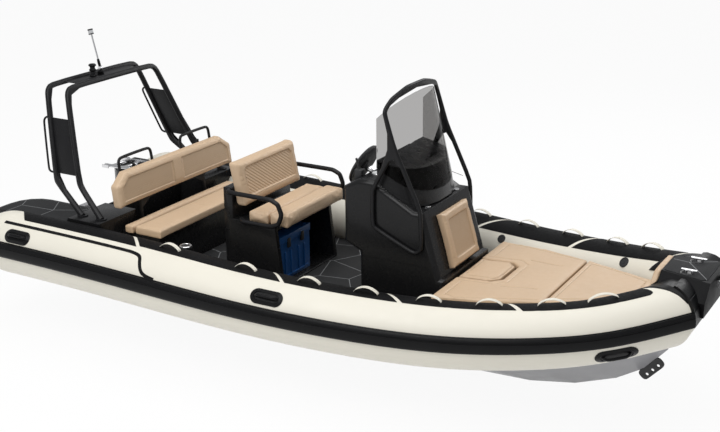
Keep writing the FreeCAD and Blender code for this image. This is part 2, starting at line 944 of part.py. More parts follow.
def locker_half_width(x):
    share = (x - locker_aft_x) / (locker_front_x - locker_aft_x)
    points = locker_shares
    for (left, low), (right, high) in zip(points, points[1:]):
        if share <= right:
            return locker_half_width_scale * (low + (high - low) * (share - left) / (right - left))
    return locker_half_width_scale * points[-1][1]


def locker_top(x):
    share = (x - locker_aft_x) / (locker_front_x - locker_aft_x)
    return locker_top_aft_z + share * (locker_top_front_z - locker_top_aft_z)


def locker_plan(aft_x, front_x, inset):
    corners = [locker_aft_x + share * (locker_front_x - locker_aft_x) for share, _ in locker_shares]
    stations = [aft_x] + [x for x in corners if aft_x < x < front_x] + [front_x]
    port = [(x, locker_half_width(x) - inset) for x in stations]
    return port + [(x, -y) for x, y in reversed(port)]


def slope_block(aft_x, front_x, lift_aft, lift_front, height):
    outline = [
        (aft_x, locker_top(aft_x) + lift_aft), (front_x, locker_top(front_x) + lift_front),
        (front_x, locker_top(front_x) + lift_front + height), (aft_x, locker_top(aft_x) + lift_aft + height),
    ]
    return side_prism(outline, -tube_half_beam, tube_half_beam)


def bow_locker(collar):
    plan = locker_plan(locker_aft_x, locker_front_x, 0)
    body = plan_prism(plan, deck_z, bow_cap_top_z)
    body = body.cut(slope_block(locker_aft_x - overrun, locker_front_x + overrun, 0, 0, bow_cap_top_z))
    lip = locker_mouth_lip
    mouth = locker_plan(locker_split_x + lip, locker_front_x - lip, lip)
    well = plan_prism(mouth, locker_top(locker_split_x) - locker_well_depth, bow_cap_top_z)
    return body.cut(well).cut(collar + [hull_form()])


def niche_plan(clear):
    near = niche_half_width - clear
    far_x = locker_aft_x + niche_depth - clear
    return [
        (locker_aft_x - overrun, -near), (far_x - niche_corner, -near), (far_x, -near + niche_corner),
        (far_x, near - niche_corner), (far_x - niche_corner, near), (locker_aft_x - overrun, near),
    ]


def bow_cushion_main(collar):
    plan = plan_prism(locker_plan(locker_aft_x, locker_split_x - lid_gap / 2, lid_gap), deck_z, bow_cap_top_z)
    slab = plan.common(slope_block(locker_aft_x - overrun, locker_split_x + overrun, seat_gap, seat_gap,
                                   cushion_thickness))
    return slab.cut(plan_prism(niche_plan(0), deck_z, bow_cap_top_z)).cut(collar)


def bow_hatch_cushion():
    plan = plan_prism(niche_plan(lid_gap), deck_z, bow_cap_top_z)
    slab = plan.common(slope_block(locker_aft_x, locker_split_x, seat_gap, seat_gap, cushion_thickness))
    return slab


def bow_lid():
    plan = plan_prism(locker_plan(locker_split_x + lid_gap / 2, lid_front_x, lid_gap), deck_z,
                      bow_cap_top_z)
    front_x = lid_front_x + overrun
    return plan.common(slope_block(locker_split_x, front_x, seat_gap, seat_gap, cushion_thickness))


def bow_bolster(collar):
    plate = bow_cap_section(bow_cap_aft_x - bolster_thickness - seat_gap, bow_cap_aft_half_flat,
                            bow_cap_aft_half_width, 0)
    return upright(flat_face(plate).extrude(V(bolster_thickness, 0, 0))).cut(collar)


def screen_lean():
    return V(screen_front_top_x - screen_front_base_x, 0, screen_top_z - screen_base_z)


def screen_body(inset):
    """The room behind the screen's skin: a bowed plan that leans back as it rises."""
    side = screen_half_width - inset
    bow_x = screen_front_base_x - screen_crown
    points = [(screen_aft_x - overrun, side), (screen_aft_x - overrun, -side)]
    for i in range(screen_chords + 1):
        turn = math.pi * (i / screen_chords - 0.5)
        points.append((bow_x + (screen_crown - inset) * math.cos(turn), side * math.sin(turn)))
    lean = screen_lean() * ((screen_top_z - screen_base_z + 2 * overrun) / (screen_top_z - screen_base_z))
    start = screen_lean() * (-overrun / (screen_top_z - screen_base_z))
    low_z = screen_base_z + start.z
    body = prism([V(x + start.x, y, low_z) for x, y in points], lean)
    return body.common(block(screen_aft_x, screen_front_base_x + overrun, -side, side, low_z, low_z + lean.z))


def between_lines(aft_low, front_low, aft_high, front_high):
    front = screen_front_base_x
    outline = [(screen_aft_x, aft_low), (front, front_low), (front, front_high), (screen_aft_x, aft_high)]
    return side_prism(outline, -tube_half_beam, tube_half_beam)


def windscreen():
    shell = screen_body(0).cut(screen_body(screen_thickness))
    edges = between_lines(screen_side_low_z, screen_front_low_z, screen_side_top_z, screen_peak_z)
    return shell.common(edges)


def console_face(z):
    lean, face = front_back_plane()
    rear = V(front_back_top_x, 0, front_back_top_z) - face * front_back_thickness
    return rear + lean * ((z - rear.z) / lean.z)


def console_body():
    shelf_edge = console_face(console_shelf_z)
    ledge = console_face(front_back_low_z - console_ledge_drop)
    outline = [
        (console_aft_x, deck_z + pad_thickness), (console_aft_x, console_bulge_low_z - console_foot_recess),
        (console_bulge_aft_x, console_bulge_low_z), (console_bulge_aft_x, console_bulge_high_z),
        (console_dash_x, console_dash_z), (binnacle_aft_x, console_dash_z),
        (console_shelf_aft_x, console_shelf_z), (shelf_edge.x, shelf_edge.z), (ledge.x, ledge.z),
        (console_front_foot_x, ledge.z), (console_front_foot_x, deck_z + pad_thickness),
    ]
    body = side_prism(outline, -console_half_width, console_half_width)

    def side_edge(edge):
        return not runs_along(edge, ACROSS) and edge.BoundBox.ZMax > deck_z + 2 * pad_thickness

    body = softened(body, console_edge_radius, side_edge)
    binnacle = screen_body(screen_thickness + seat_gap).common(
        between_lines(console_shelf_z, console_shelf_z, binnacle_aft_top_z, binnacle_front_top_z))
    return fused([body, binnacle])


def frame_arch_half():
    """The starboard half of the hoop's top: points on half an ellipse, then the middle of the last chord."""
    points = []
    for i in range(frame_top_turns // 2 + 1):
        turn = math.pi * i / frame_top_turns
        rise = math.sin(turn)
        points.append(V(frame_shoulder_x + (frame_top_x - frame_shoulder_x) * rise,
                        -frame_half_width * math.cos(turn),
                        frame_shoulder_z + (frame_top_z - frame_shoulder_z) * rise))
    return points + [V(points[-1].x, 0, points[-1].z)]


def console_frame():
    knee = V(frame_knee_x, -frame_half_width, frame_knee_z)
    loop = [
        V(frame_loop_aft_x, -frame_half_width, frame_loop_aft_high_z),
        V(frame_loop_aft_x, -frame_half_width, frame_loop_aft_low_z),
        V(frame_loop_front_x, -frame_half_width, frame_loop_front_z),
        V(frame_foot_x, -frame_half_width, frame_foot_z),
    ]
    joint = knee + (loop[0] - knee).normalize() * 2 * frame_tube_diameter
    half = fused([bent_tube([joint] + loop + [knee] + frame_arch_half(), frame_tube_radius, frame_bend),
                  bent_tube([knee, joint], frame_tube_radius, frame_bend)])
    return fused([half, mirrored(half)])


def wheel_rim_section(turn):
    outward = V(math.cos(turn), math.sin(turn), 0)
    corners = [2 * math.pi * i / rim_sides for i in range(rim_sides)]
    arms = [wheel_radius + wheel_rim_radius * math.cos(corner) for corner in corners]
    rises = [wheel_rim_radius * math.sin(corner) for corner in corners]
    return [outward * arm + UP * rise for arm, rise in zip(arms, rises)]


def wheel_rim_half(first_turn):
    steps = rim_segments // 2
    sections = [wheel_rim_section(first_turn + math.pi * i / steps) for i in range(steps + 1)]
    return skinned(sections)


def steering_wheel():
    hub = round_bar(UP * (-wheel_hub_length * hub_back_share), UP * (wheel_hub_length * (1 - hub_back_share)),
                    wheel_hub_radius)
    pieces = [wheel_rim_half(0), wheel_rim_half(math.pi), hub]
    for number in range(wheel_spokes):
        half = wheel_spoke_half_width
        deep = wheel_spoke_thickness / 2
        spoke = block(0, wheel_radius, -half, half, -deep, deep)
        spoke.rotate(V(0, 0, 0), UP, 360 / wheel_spokes * number + spoke_turn)
        pieces.append(spoke)
    return placed_on_column(fused(pieces))


def column_direction():
    tilt = math.radians(wheel_tilt)
    return V(-math.cos(tilt), 0, math.sin(tilt))


def placed_on_column(shape):
    turned = shape.copy()
    turned.Placement = FreeCAD.Placement(V(wheel_x, 0, wheel_z), FreeCAD.Rotation(UP, column_direction()))
    return turned


def steering_column(console):
    start = V(wheel_x, 0, wheel_z) - column_direction() * (wheel_hub_length * hub_back_share + column_gap)
    end = start - column_direction() * console_half_width
    return rod(start, end, column_radius).cut(console)


def front_back_plane():
    lean = V(front_back_low_x - front_back_top_x, 0, front_back_low_z - front_back_top_z).normalize()
    face = ACROSS.cross(lean).normalize()
    if face.x < 0:
        face = face * -1
    return lean, face


def front_seat_back():
    lean, face = front_back_plane()
    top = V(front_back_top_x, 0, front_back_top_z)
    low = V(front_back_low_x, 0, front_back_low_z)
    back = face * -(front_back_thickness - seat_gap)
    wide = V(0, front_back_half_width, 0)
    slab = prism([top - wide, low - wide, low + wide, top + wide], back)
    inner_top = top + lean * front_back_margin
    inner_low = low - lean * front_back_margin
    inner = V(0, front_back_half_width - front_back_margin, 0)
    recess = prism([inner_top - inner, inner_low - inner, inner_low + inner, inner_top + inner],
                   face * -front_back_recess)
    return slab.cut(recess)


def front_door_hinge():
    """A piano hinge along the port edge of the seat back, on a leaf that stands on the console."""
    lean, face = front_back_plane()
    y = front_back_half_width + door_pin_clear
    top = V(front_back_top_x, y, front_back_top_z) + lean * front_back_margin
    low = V(front_back_low_x, y, front_back_low_z) - lean * front_back_margin
    sunk = face * (door_pin_lift - front_back_thickness)
    rear = face * -front_back_thickness
    leaf = prism([top + sunk, low + sunk, low + rear, top + rear], V(0, door_pin_radius, 0))
    return fused([rod(top + sunk, low + sunk, door_pin_radius), leaf])


def helm_base():
    outline = [
        (helm_base_aft_x, deck_z + pad_thickness), (helm_base_aft_x, helm_base_back_z),
        (helm_base_back_x, helm_base_back_z), (helm_base_back_x, helm_base_top_z),
        (helm_base_front_top_x, helm_base_top_z), (helm_base_front_x, deck_z + pad_thickness),
    ]
    body = side_prism(outline, -helm_base_half_width, helm_base_half_width)
    niche_width = helm_base_half_width - helm_wall
    return body.cut(block(helm_niche_aft_x, helm_base_front_x + overrun, -niche_width, niche_width,
                          deck_z + pad_thickness + helm_floor, helm_base_top_z - helm_wall))


def cooler():
    floor = deck_z + pad_thickness + helm_floor + seat_gap
    near = -helm_base_half_width + helm_wall + cooler_gap
    far = near + cooler_width
    aft = helm_niche_aft_x + cooler_gap
    rim = floor + cooler_height - cooler_lid_height
    box = block(aft, aft + cooler_length, near, far, floor, rim)
    lid = block(aft, aft + cooler_length + cooler_lid_overhang, near, far, rim, floor + cooler_height)
    return fused([box, lid])


def helm_cushion():
    low = helm_base_top_z + seat_gap
    half = helm_cushion_half_width
    return block(helm_cushion_aft_x, helm_bolster_x - lid_gap, -half, half, low, low + helm_cushion_thickness)


def helm_bolster():
    low = helm_base_top_z + helm_hinge_lift
    return block(helm_bolster_x, helm_cushion_front_x, -helm_cushion_half_width, helm_cushion_half_width,
                 low, helm_base_top_z + helm_bolster_thickness)


def helm_back():
    lean = V(helm_back_top_x - helm_back_low_x, 0, helm_back_top_z - helm_back_low_z)
    depth = V(-helm_back_thickness, 0, 0)
    low = V(helm_back_low_x, 0, helm_back_low_z)
    wide = V(0, helm_back_half_width, 0)
    return prism([low - wide, low + wide, low + wide + lean, low - wide + lean], depth)


def swept_corner(before, corner, after, reach):
    """Three points that take a wide sweep round a square corner."""
    start = corner + (before - corner).normalize() * reach
    end = corner + (after - corner).normalize() * reach
    middle = corner + (start + end - corner * 2) * (1 - math.sqrt(1 / 2))
    return [start, middle, end]


def helm_arms(base):
    top_aft = V(helm_base_back_x, -arm_half_width, arm_top_z)
    top_front = V(arm_front_x, -arm_half_width, arm_top_z)
    low_front = V(arm_front_x, -arm_half_width, arm_low_z)
    low_aft = V(arm_aft_x, -arm_half_width, arm_low_z)
    path = [V(helm_base_back_x - overrun, -arm_half_width + arm_tuck * 2, arm_top_z), top_aft]
    path += swept_corner(top_aft, top_front, low_front, arm_sweep)
    path += swept_corner(top_front, low_front, low_aft, arm_sweep)
    path += [low_aft, V(arm_aft_x - overrun, -arm_half_width + arm_tuck, arm_low_z)]
    starboard = bent_tube(path, arm_radius, arm_bend)
    starboard = starboard.cut(base)
    return [starboard, mirrored(starboard)]


def helm_rear_loop():
    x = helm_base_aft_x + small_loop_inset
    half = small_loop_half_width
    return bent_tube([V(x, -half, helm_base_back_z), V(x, -half, helm_base_back_z + small_loop_height),
                      V(x, half, helm_base_back_z + small_loop_height), V(x, half, helm_base_back_z)],
                     rail_radius, rail_bend)


def bench_base():
    half = bench_half_width
    low = deck_z + pad_thickness
    outer = block(bench_base_aft_x, bench_base_front_x, -half, half, low, bench_base_top_z)
    inside = half - bench_wall
    inner = block(bench_lid_aft_x + bench_wall, bench_base_front_x - bench_wall, -inside, inside,
                  low + bench_wall, bench_base_top_z + overrun)
    return outer.cut(inner)


def well_board():
    """The board that parts the cockpit from the engine well, from platform to platform."""
    half = platform_inner_y - skin_gap
    return block(well_board_x, well_board_x + bench_wall, -half, half, deck_z, platform_top_z)


def bench_rear_cushion():
    low = bench_base_top_z + seat_gap
    return block(bench_cushion_aft_x, bench_lid_aft_x - lid_gap, -bench_cushion_half_width,
                 bench_cushion_half_width, low, low + bench_cushion_thickness)


def bench_lid():
    low = bench_base_top_z + seat_gap
    return block(bench_lid_aft_x, bench_cushion_front_x, -bench_cushion_half_width, bench_cushion_half_width,
                 low, low + bench_cushion_thickness)


def bench_back():
    wide = bench_back_half_width
    cut = bench_back_chamfer
    drop = bench_back_chamfer_height
    lean = V(-bench_back_lean, 0, bench_back_top_z - bench_back_low_z)

    def place(y, rise):
        return V(bench_back_x, y, bench_back_low_z) + lean * rise

    shoulder = 1 - drop / (bench_back_top_z - bench_back_low_z)
    outline = [place(-wide, 0), place(wide, 0), place(wide, shoulder), place(wide - cut, 1),
               place(-wide + cut, 1), place(-wide, shoulder)]
    return prism(outline, V(-bench_back_thickness, 0, 0))


def bench_rear_x(z):
    share = (z - bench_back_low_z) / (bench_back_top_z - bench_back_low_z)
    return bench_back_x - bench_back_thickness - rail_radius - seat_gap - share * bench_back_lean


def bench_frame():
    top = bench_back_top_z + rail_height
    low = bench_back_low_z
    pieces = []
    for y in (-support_y, support_y):
        foot = V(bench_rear_x(bench_base_top_z), y, bench_base_top_z)
        head = V(bench_rear_x(bench_back_top_z), y, bench_back_top_z)
        pieces.append(round_bar(foot, head, rail_radius))
    for sign in (-1, 1):
        near = sign * rail_near_y
        far = sign * rail_far_y
        pieces.append(bent_tube([V(bench_rear_x(low), near, low), V(bench_rear_x(top), near, top),
                                 V(bench_rear_x(top), far, top), V(bench_rear_x(low), far, low)],
                                rail_radius, rail_bend))
    x = bench_rear_x(low)
    bar = round_bar(V(x, -rail_far_y, low), V(x, rail_far_y, low), rail_radius)
    return fused(pieces + [bar])


def arch_hoop(top_x, knee_x, foot_x):
    side = [
        V(foot_x, -arch_foot_half_width, platform_top_z),
        V(knee_x, -arch_knee_half_width, arch_knee_z),
        V(top_x, -arch_top_half_width, arch_top_z),
    ]
    other = [V(point.x, -point.y, point.z) for point in reversed(side)]
    hoop = bent_tube(side + other, arch_tube_radius, arch_bend)
    below = block(platform_aft_x, platform_front_x + overrun, -tube_half_beam, tube_half_beam, deck_z,
                  platform_top_z)
    return hoop.cut(below)


def arch_foot(x, y):
    foot = V(x, y, platform_top_z)
    return round_bar(foot, foot + UP * arch_foot_thickness, arch_foot_radius)


def arch_with_feet(hoop, foot_x):
    return fused([hoop] + [arch_foot(foot_x, y) for y in (-arch_foot_half_width, arch_foot_half_width)])


def arch_top_plate(hoops):
    outline = [
        (arch_aft_top_x, -arch_plate_half_width), (arch_front_top_x, -arch_plate_half_width),
        (arch_front_top_x, arch_plate_half_width), (arch_aft_top_x, arch_plate_half_width),
    ]
    plate = plan_prism(outline, arch_top_z - arch_plate_thickness / 2, arch_top_z + arch_plate_thickness / 2)
    return fused([plate.cut(hoops)] + mast_base())


def leg_point(top_x, knee_x, z):
    share = (z - arch_knee_z) / (arch_top_z - arch_knee_z)
    x = knee_x + share * (top_x - knee_x)
    y = arch_knee_half_width + share * (arch_top_half_width - arch_knee_half_width)
    return V(x, y, z)


def arch_side_plate():
    corners = [
        leg_point(arch_aft_top_x, arch_aft_knee_x, side_plate_low_z + arch_bend),
        leg_point(arch_front_top_x, arch_front_knee_x, side_plate_low_z + arch_bend),
        leg_point(arch_front_top_x, arch_front_knee_x, side_plate_top_z),
        leg_point(arch_aft_top_x, arch_aft_knee_x, side_plate_top_z),
    ]
    thickness = V(0, arch_plate_thickness, 0)
    return prism([corner - thickness / 2 for corner in corners], thickness)


def arch_outer_rail():
    high = leg_point(arch_aft_top_x, arch_aft_knee_x, side_plate_top_z)
    low = leg_point(arch_aft_top_x, arch_aft_knee_x, side_plate_low_z + arch_bend)
    away = V(-outer_rail_stand_off, 0, 0)
    return bent_tube([high, high + away, low + away, low], outer_rail_radius, outer_rail_bend)


def mast_pivot():
    return V(mast_foot_x, 0, arch_top_z + arch_plate_thickness / 2 + mast_pivot_height)


def mast_base():
    foot = V(mast_foot_x, 0, arch_top_z + arch_plate_thickness / 2)
    post = round_bar(foot, foot + UP * (mast_pivot_height - mast_knob_radius - mast_gap), mast_base_radius)
    beacon_foot = foot + V(0, beacon_y, 0)
    return [post, round_bar(beacon_foot, beacon_foot + UP * beacon_height, beacon_radius)]


def light_mast():
    pivot = mast_pivot()
    rake = math.radians(mast_rake)
    along = V(-math.sin(rake), 0, math.cos(rake))
    knob = rod(pivot - ACROSS * mast_knob_radius, pivot + ACROSS * mast_knob_radius, mast_knob_radius)
    pole = round_bar(pivot, pivot + along * mast_length, mast_pole_radius)
    head = pivot + along * mast_length
    lamp = round_bar(head, head + along * mast_light_height, mast_light_radius)
    return fused([knob, pole, lamp])


def ladder():
    z = platform_low_z + platform_pad_thickness + ladder_tube_radius + ladder_lift
    near = ladder_y - ladder_half_width
    far = ladder_y + ladder_half_width
    side = bent_tube([V(ladder_hinge_x, near, z), V(ladder_hinge_x + ladder_length, near, z),
                      V(ladder_hinge_x + ladder_length, far, z), V(ladder_hinge_x, far, z)],
                     ladder_tube_radius, ladder_bend)
    pieces = [side]
    for number in range(ladder_rungs):
        x = ladder_hinge_x + ladder_length * (number + ladder_first_share) / ladder_rungs
        pieces.append(round_bar(V(x, near, z), V(x, far, z), ladder_tube_radius))
    return fused(pieces)


def ladder_brackets():
    z = platform_low_z + platform_pad_thickness
    brackets = []
    for y in (ladder_y - ladder_half_width, ladder_y + ladder_half_width):
        for side in (-1, 1):
            inner = y + side * (ladder_tube_radius + ladder_cheek_gap)
            outer = inner + side * ladder_cheek
            low_y, high_y = sorted((inner, outer))
            cheek = block(ladder_hinge_x - ladder_tube_radius, platform_aft_x + ladder_bracket_reach,
                          low_y, high_y, z, z + 2 * ladder_tube_radius + ladder_lift)
            pivot = V(ladder_hinge_x, outer, z + ladder_tube_radius + ladder_lift)
            reach = V(0, y + side * (ladder_tube_radius + seat_gap) - outer, 0)
            brackets.append(fused([cheek, rod(pivot, pivot + reach, ladder_boss_radius)]))
    return brackets


def shelf_cleats():
    z = console_shelf_z
    x = (console_shelf_aft_x + console_face(z).x) / 2
    return [round_bar(V(x, y, z), V(x, y, z + cleat_height / 2), cleat_radius * 3)
            for y in (-shelf_cleat_y, shelf_cleat_y)]


def throttle(console):
    base = block(lever_x - lever_half, lever_x + lever_half, lever_y - lever_half, lever_y + lever_half,
                 console_dash_z - overrun, console_dash_z + lever_half)
    stick = round_bar(V(lever_x, lever_y, console_dash_z),
                      V(lever_x - lever_half, lever_y, console_dash_z + lever_reach), lever_radius)
    return fused([base, stick]).cut(console)


def build():
    port = side_tube()
    starboard = mirrored(port)
    bow = bow_tube()
    collar = [port, starboard, bow]
    console = console_body()
    hull = hull_solid(collar)
    pad_sheet = deck_pad(collar)
    patches = top_patches()
    platform = platform_solid(port, patches[0])
    strake = rubstrake()
    loops = [grab_loop(x).cut(patches) for x in loop_x]
    handles = []
    for x, angle in zip(handle_x, handle_angle):
        handles += handle(x, angle)
    front_hoop = arch_hoop(arch_front_top_x, arch_front_knee_x, arch_front_foot_x)
    rear_hoop = arch_hoop(arch_aft_top_x, arch_aft_knee_x, arch_aft_foot_x)
    hoops = [front_hoop, rear_hoop]
    side_plates = [plate.cut(hoops) for plate in (arch_side_plate(), mirrored(arch_side_plate()))]
    outer_rails = [rail.cut(hoops) for rail in (arch_outer_rail(), mirrored(arch_outer_rail()))]
    inner_valve = valve(port)
    pad = platform_pad(port, patches[0])
    guard = bow_guard()
    cap = bow_cap(collar, guard)
    seat_base = helm_base()
    bench = bench_base()
    nodes = {
        "hull": hull,
        "transom": transom_solid(),
        "deck_pad": pad_sheet,
        "tube_port": port,
        "tube_starboard": starboard,
        "tube_bow": bow,
        "rubstrakes": [strake, mirrored(strake)],
        "top_patches": patches + [mirrored(shape) for shape in patches],
        "grab_loops": loops + [mirrored(shape) for shape in loops],
        "lift_handles": handles + [mirrored(shape) for shape in handles],
        "inflation_valves": [inner_valve, mirrored(inner_valve)],
        "after_platforms": [platform, mirrored(platform)],
        "platform_pads": [pad, mirrored(pad)],
        "bow_cap": cap,
        "bow_guard": guard,
        "bow_roller": bow_roller(),
        "bow_fittings": [cleat(bow_cleat_x, y, cap) for y in (-bow_cleat_y, bow_cleat_y)]
        + [bow_roller_bracket()],
        "tow_plate": tow_plate().cut(hull),
        "bow_bolster": bow_bolster(collar),
        "bow_locker": bow_locker(collar),
        "bow_cushion": bow_cushion_main(collar),
        "bow_hatch_cushion": bow_hatch_cushion(),
        "bow_lid": bow_lid(),
        "console": console,
        "console_frame": console_frame(),
        "windscreen": windscreen(),
        "console_fittings": [piece.cut(console) for piece in shelf_cleats()] + [
            steering_column(console), front_door_hinge().cut(console)],
        "throttle": throttle(console),
        "steering_wheel": steering_wheel(),
        "front_seat_back": front_seat_back(),
        "helm_base": seat_base,
        "cooler": cooler(),
        "helm_cushion": helm_cushion(),
        "helm_bolster": helm_bolster(),
        "helm_back": helm_back(),
        "helm_rails": helm_arms(seat_base) + [helm_rear_loop()],
        "bench_base": [bench, well_board().cut(pad_sheet)],
        "bench_cushion": bench_rear_cushion(),
        "bench_lid": bench_lid(),
        "bench_back": bench_back(),
        "bench_frame": bench_frame().cut(bench),
        "arch_front_hoop": arch_with_feet(front_hoop, arch_front_foot_x),
        "arch_rear_hoop": arch_with_feet(rear_hoop, arch_aft_foot_x),
        "arch_top_plate": arch_top_plate(hoops),
        "arch_side_plates": side_plates,
        "arch_outer_rails": outer_rails,
        "light_mast": light_mast(),
        "boarding_ladder": ladder(),
        "ladder_brackets": ladder_brackets(),
    }
    return nodes


def save(nodes):
    os.makedirs("parts", exist_ok=True)
    for name, shape in nodes.items():
        if isinstance(shape, list):
            shape = Part.makeCompound(shape)
        shape.exportStep("parts/" + name + ".step")


save(build())
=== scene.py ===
import math
import bmesh
import bpy
import numpy
from mathutils.bvhtree import BVHTree
from mathutils import Matrix, Vector


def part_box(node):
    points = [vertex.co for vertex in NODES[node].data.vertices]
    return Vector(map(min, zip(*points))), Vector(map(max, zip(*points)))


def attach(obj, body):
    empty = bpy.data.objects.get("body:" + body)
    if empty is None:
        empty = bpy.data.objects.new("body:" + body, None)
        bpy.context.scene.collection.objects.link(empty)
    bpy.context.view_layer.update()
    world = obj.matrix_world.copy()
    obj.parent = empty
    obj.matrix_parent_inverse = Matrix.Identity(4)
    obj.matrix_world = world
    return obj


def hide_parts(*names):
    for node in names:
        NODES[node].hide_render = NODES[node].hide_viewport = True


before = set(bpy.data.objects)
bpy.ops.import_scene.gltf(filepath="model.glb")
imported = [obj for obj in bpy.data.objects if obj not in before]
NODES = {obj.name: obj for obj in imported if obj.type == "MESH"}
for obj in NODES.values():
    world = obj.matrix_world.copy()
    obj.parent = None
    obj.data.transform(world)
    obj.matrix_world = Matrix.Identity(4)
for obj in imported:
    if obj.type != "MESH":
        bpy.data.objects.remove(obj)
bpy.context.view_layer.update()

# A rigid inflatable boat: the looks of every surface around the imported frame.
# Metres throughout. X runs forward, Y to port, Z up from the waterline.

V = Vector
UP = V((0, 0, 1))
DOWN = V((0, 0, -1))
ACROSS = V((0, 1, 0))
AHEAD = V((1, 0, 0))
ASTERN = V((-1, 0, 0))
SIDES = (-1, 1)
scene = bpy.context.scene


# Materials

CREAM = (0.80, 0.765, 0.665)
TAN = (0.60, 0.435, 0.285)
BLACK = (0.005, 0.005, 0.0055)
FOAM_GREY = (0.020, 0.0205, 0.0215)
FOAM_LINES = (0.24, 0.245, 0.25)


def shader_of(material):
    return material.node_tree.nodes["Principled BSDF"]


def fill_inputs(node, values):
    for key, value in values.items():
        node.inputs[key].default_value = value


def base_material(name, colour, roughness, metallic=0.0, coat=0.0, specular=0.5):
    material = bpy.data.materials.new(name)
    material.use_nodes = True
    fill_inputs(shader_of(material), {
        "Base Color": (*colour, 1), "Roughness": roughness, "Metallic": metallic, "Coat Weight": coat,
        "Coat Roughness": 0.06, "Specular IOR Level": specular,
    })
    return material


def add_node(material, kind, **settings):
    node = material.node_tree.nodes.new(kind)
    for key, value in settings.items():
        setattr(node, key, value)
    return node


def link(material, source, target):
    material.node_tree.links.new(source, target)


def texture(material, kind, scale, **settings):
    """A texture node in the object's own coordinates."""
    node = add_node(material, kind, **settings)
    node.inputs["Scale"].default_value = scale
    place = add_node(material, "ShaderNodeTexCoord")
    link(material, place.outputs["Object"], node.inputs["Vector"])
    return node


def noise(material, scale, detail=3.0):
    node = texture(material, "ShaderNodeTexNoise", scale)
    node.inputs["Detail"].default_value = detail
    return node.outputs["Fac"]


def cells(material, scale, randomness=1.0, **settings):
    node = texture(material, "ShaderNodeTexVoronoi", scale, **settings)
    node.inputs["Randomness"].default_value = randomness
    return node.outputs["Distance"]


def remap(material, value, low, high, to_low, to_high):
    node = add_node(material, "ShaderNodeMapRange")
    fill_inputs(node, {"From Min": low, "From Max": high, "To Min": to_low, "To Max": to_high})
    link(material, value, node.inputs["Value"])
    return node.outputs["Result"]


def combine(material, operation, first, second):
    node = add_node(material, "ShaderNodeMath", operation=operation)
    for socket, value in zip(node.inputs, (first, second)):
        if isinstance(value, (int, float)):
            socket.default_value = value
        else:
            link(material, value, socket)
    return node.outputs["Value"]


def bump(material, height, distance, strength):
    node = add_node(material, "ShaderNodeBump")
    fill_inputs(node, {"Distance": distance, "Strength": strength})
    link(material, height, node.inputs["Height"])
    link(material, node.outputs["Normal"], shader_of(material).inputs["Normal"])


def two_colours(material, factor, first, second):
    node = add_node(material, "ShaderNodeMix", data_type="RGBA")
    link(material, factor, node.inputs[0])
    fill_inputs(node, {6: (*first, 1), 7: (*second, 1)})
    link(material, node.outputs[2], shader_of(material).inputs["Base Color"])


def shade(colour, factor):
    return tuple(min(1.0, channel * factor) for channel in colour)


def uneven(name, colour, roughness, scale, depth, rough_depth=0.08, **shine):
    """A material in patches a little darker and lighter, and finer ones a little rougher and smoother."""
    material = base_material(name, colour, roughness, **shine)
    two_colours(material, noise(material, scale, 5.0), shade(colour, 1 - depth), shade(colour, 1 + depth))
    varied = remap(material, noise(material, scale * 7, 4.0), 0.3, 0.7, roughness - rough_depth,
                   roughness + rough_depth)
    link(material, varied, shader_of(material).inputs["Roughness"])
    return material


def grained(name, colour, roughness, patches, grain, **shine):
    """Uneven patches (scale, depth, change of roughness) and a fine grain (scale, height, strength)."""
    material = uneven(name, colour, roughness, *patches, **shine)
    scale, height, strength = grain
    bump(material, noise(material, scale, 2.0), height, strength)
    return material


def gelcoat(name, colour, roughness=0.27, coat=0.03, specular=0.22):
    patches, grain = (1.6, 0.08, 0.04), (14.0, 0.0009, 0.25)
    return grained(name, colour, roughness, patches, grain, coat=coat, specular=specular)


def moulded(name, colour, roughness=0.45):
    return grained(name, colour, roughness, (5.0, 0.12), (520.0, 0.0004, 0.45))


def collar_fabric():
    """Coated cloth: a fine weave over slow, shallow waves."""
    material = uneven("collar_fabric", CREAM, 0.42, 2.2, 0.03)
    waves = combine(material, "MULTIPLY", noise(material, 9.0, 2.0), 3.0)
    bump(material, combine(material, "ADD", noise(material, 1400.0, 1.0), waves), 0.0004, 0.5)
    return material


def grip_rubber():
    """Near-black rubber with rows of small studs."""
    material = uneven("patch_rubber", BLACK, 0.62, 8.0, 0.3, specular=0.12)
    bump(material, combine(material, "SUBTRACT", 1.0, cells(material, 160.0, 0.15)), 0.0012, 0.6)
    return material


def foam_deck():
    """Dark closed-cell foam with pale lines that part it into flat stones."""
    material = base_material("deck_foam", FOAM_GREY, 0.75, specular=0.3)
    edges = cells(material, 3.1, 0.8, feature="DISTANCE_TO_EDGE", voronoi_dimensions="2D")
    line = remap(material, edges, 0.006, 0.011, 1.0, 0.0)
    two_colours(material, line, FOAM_GREY, FOAM_LINES)
    grooves = combine(material, "MULTIPLY", line, 2.0)
    bump(material, combine(material, "SUBTRACT", noise(material, 900.0, 2.0), grooves), 0.0009, 0.6)
    return material


def vinyl():
    """Seat cloth with a pebbled grain and faint folds."""
    material = uneven("seat_vinyl", TAN, 0.48, 4.0, 0.05)
    pebbles = cells(material, 420.0, feature="DISTANCE_TO_EDGE")
    folds = combine(material, "MULTIPLY", noise(material, 22.0, 3.0), 1.5)
    bump(material, combine(material, "ADD", pebbles, folds), 0.0007, 0.55)
    return material


def punched_vinyl():
    """The same cloth, punched with small holes in a square lattice."""
    material = uneven("punched_vinyl", shade(TAN, 0.86), 0.55, 4.0, 0.05)
    bump(material, remap(material, cells(material, 62.0, 0.0), 0.16, 0.24, 0.0, 1.0), 0.0012, 0.8)
    return material


def polished_steel():
    roughness = 0.16
    material = base_material("polished_steel", (0.72, 0.72, 0.73), roughness, metallic=1.0)
    brushed = noise(material, 240.0, 3.0)
    varied = remap(material, brushed, 0.3, 0.7, roughness * 0.7, roughness * 1.4)
    link(material, varied, shader_of(material).inputs["Roughness"])
    bump(material, brushed, 0.0001, 0.3)
    return material


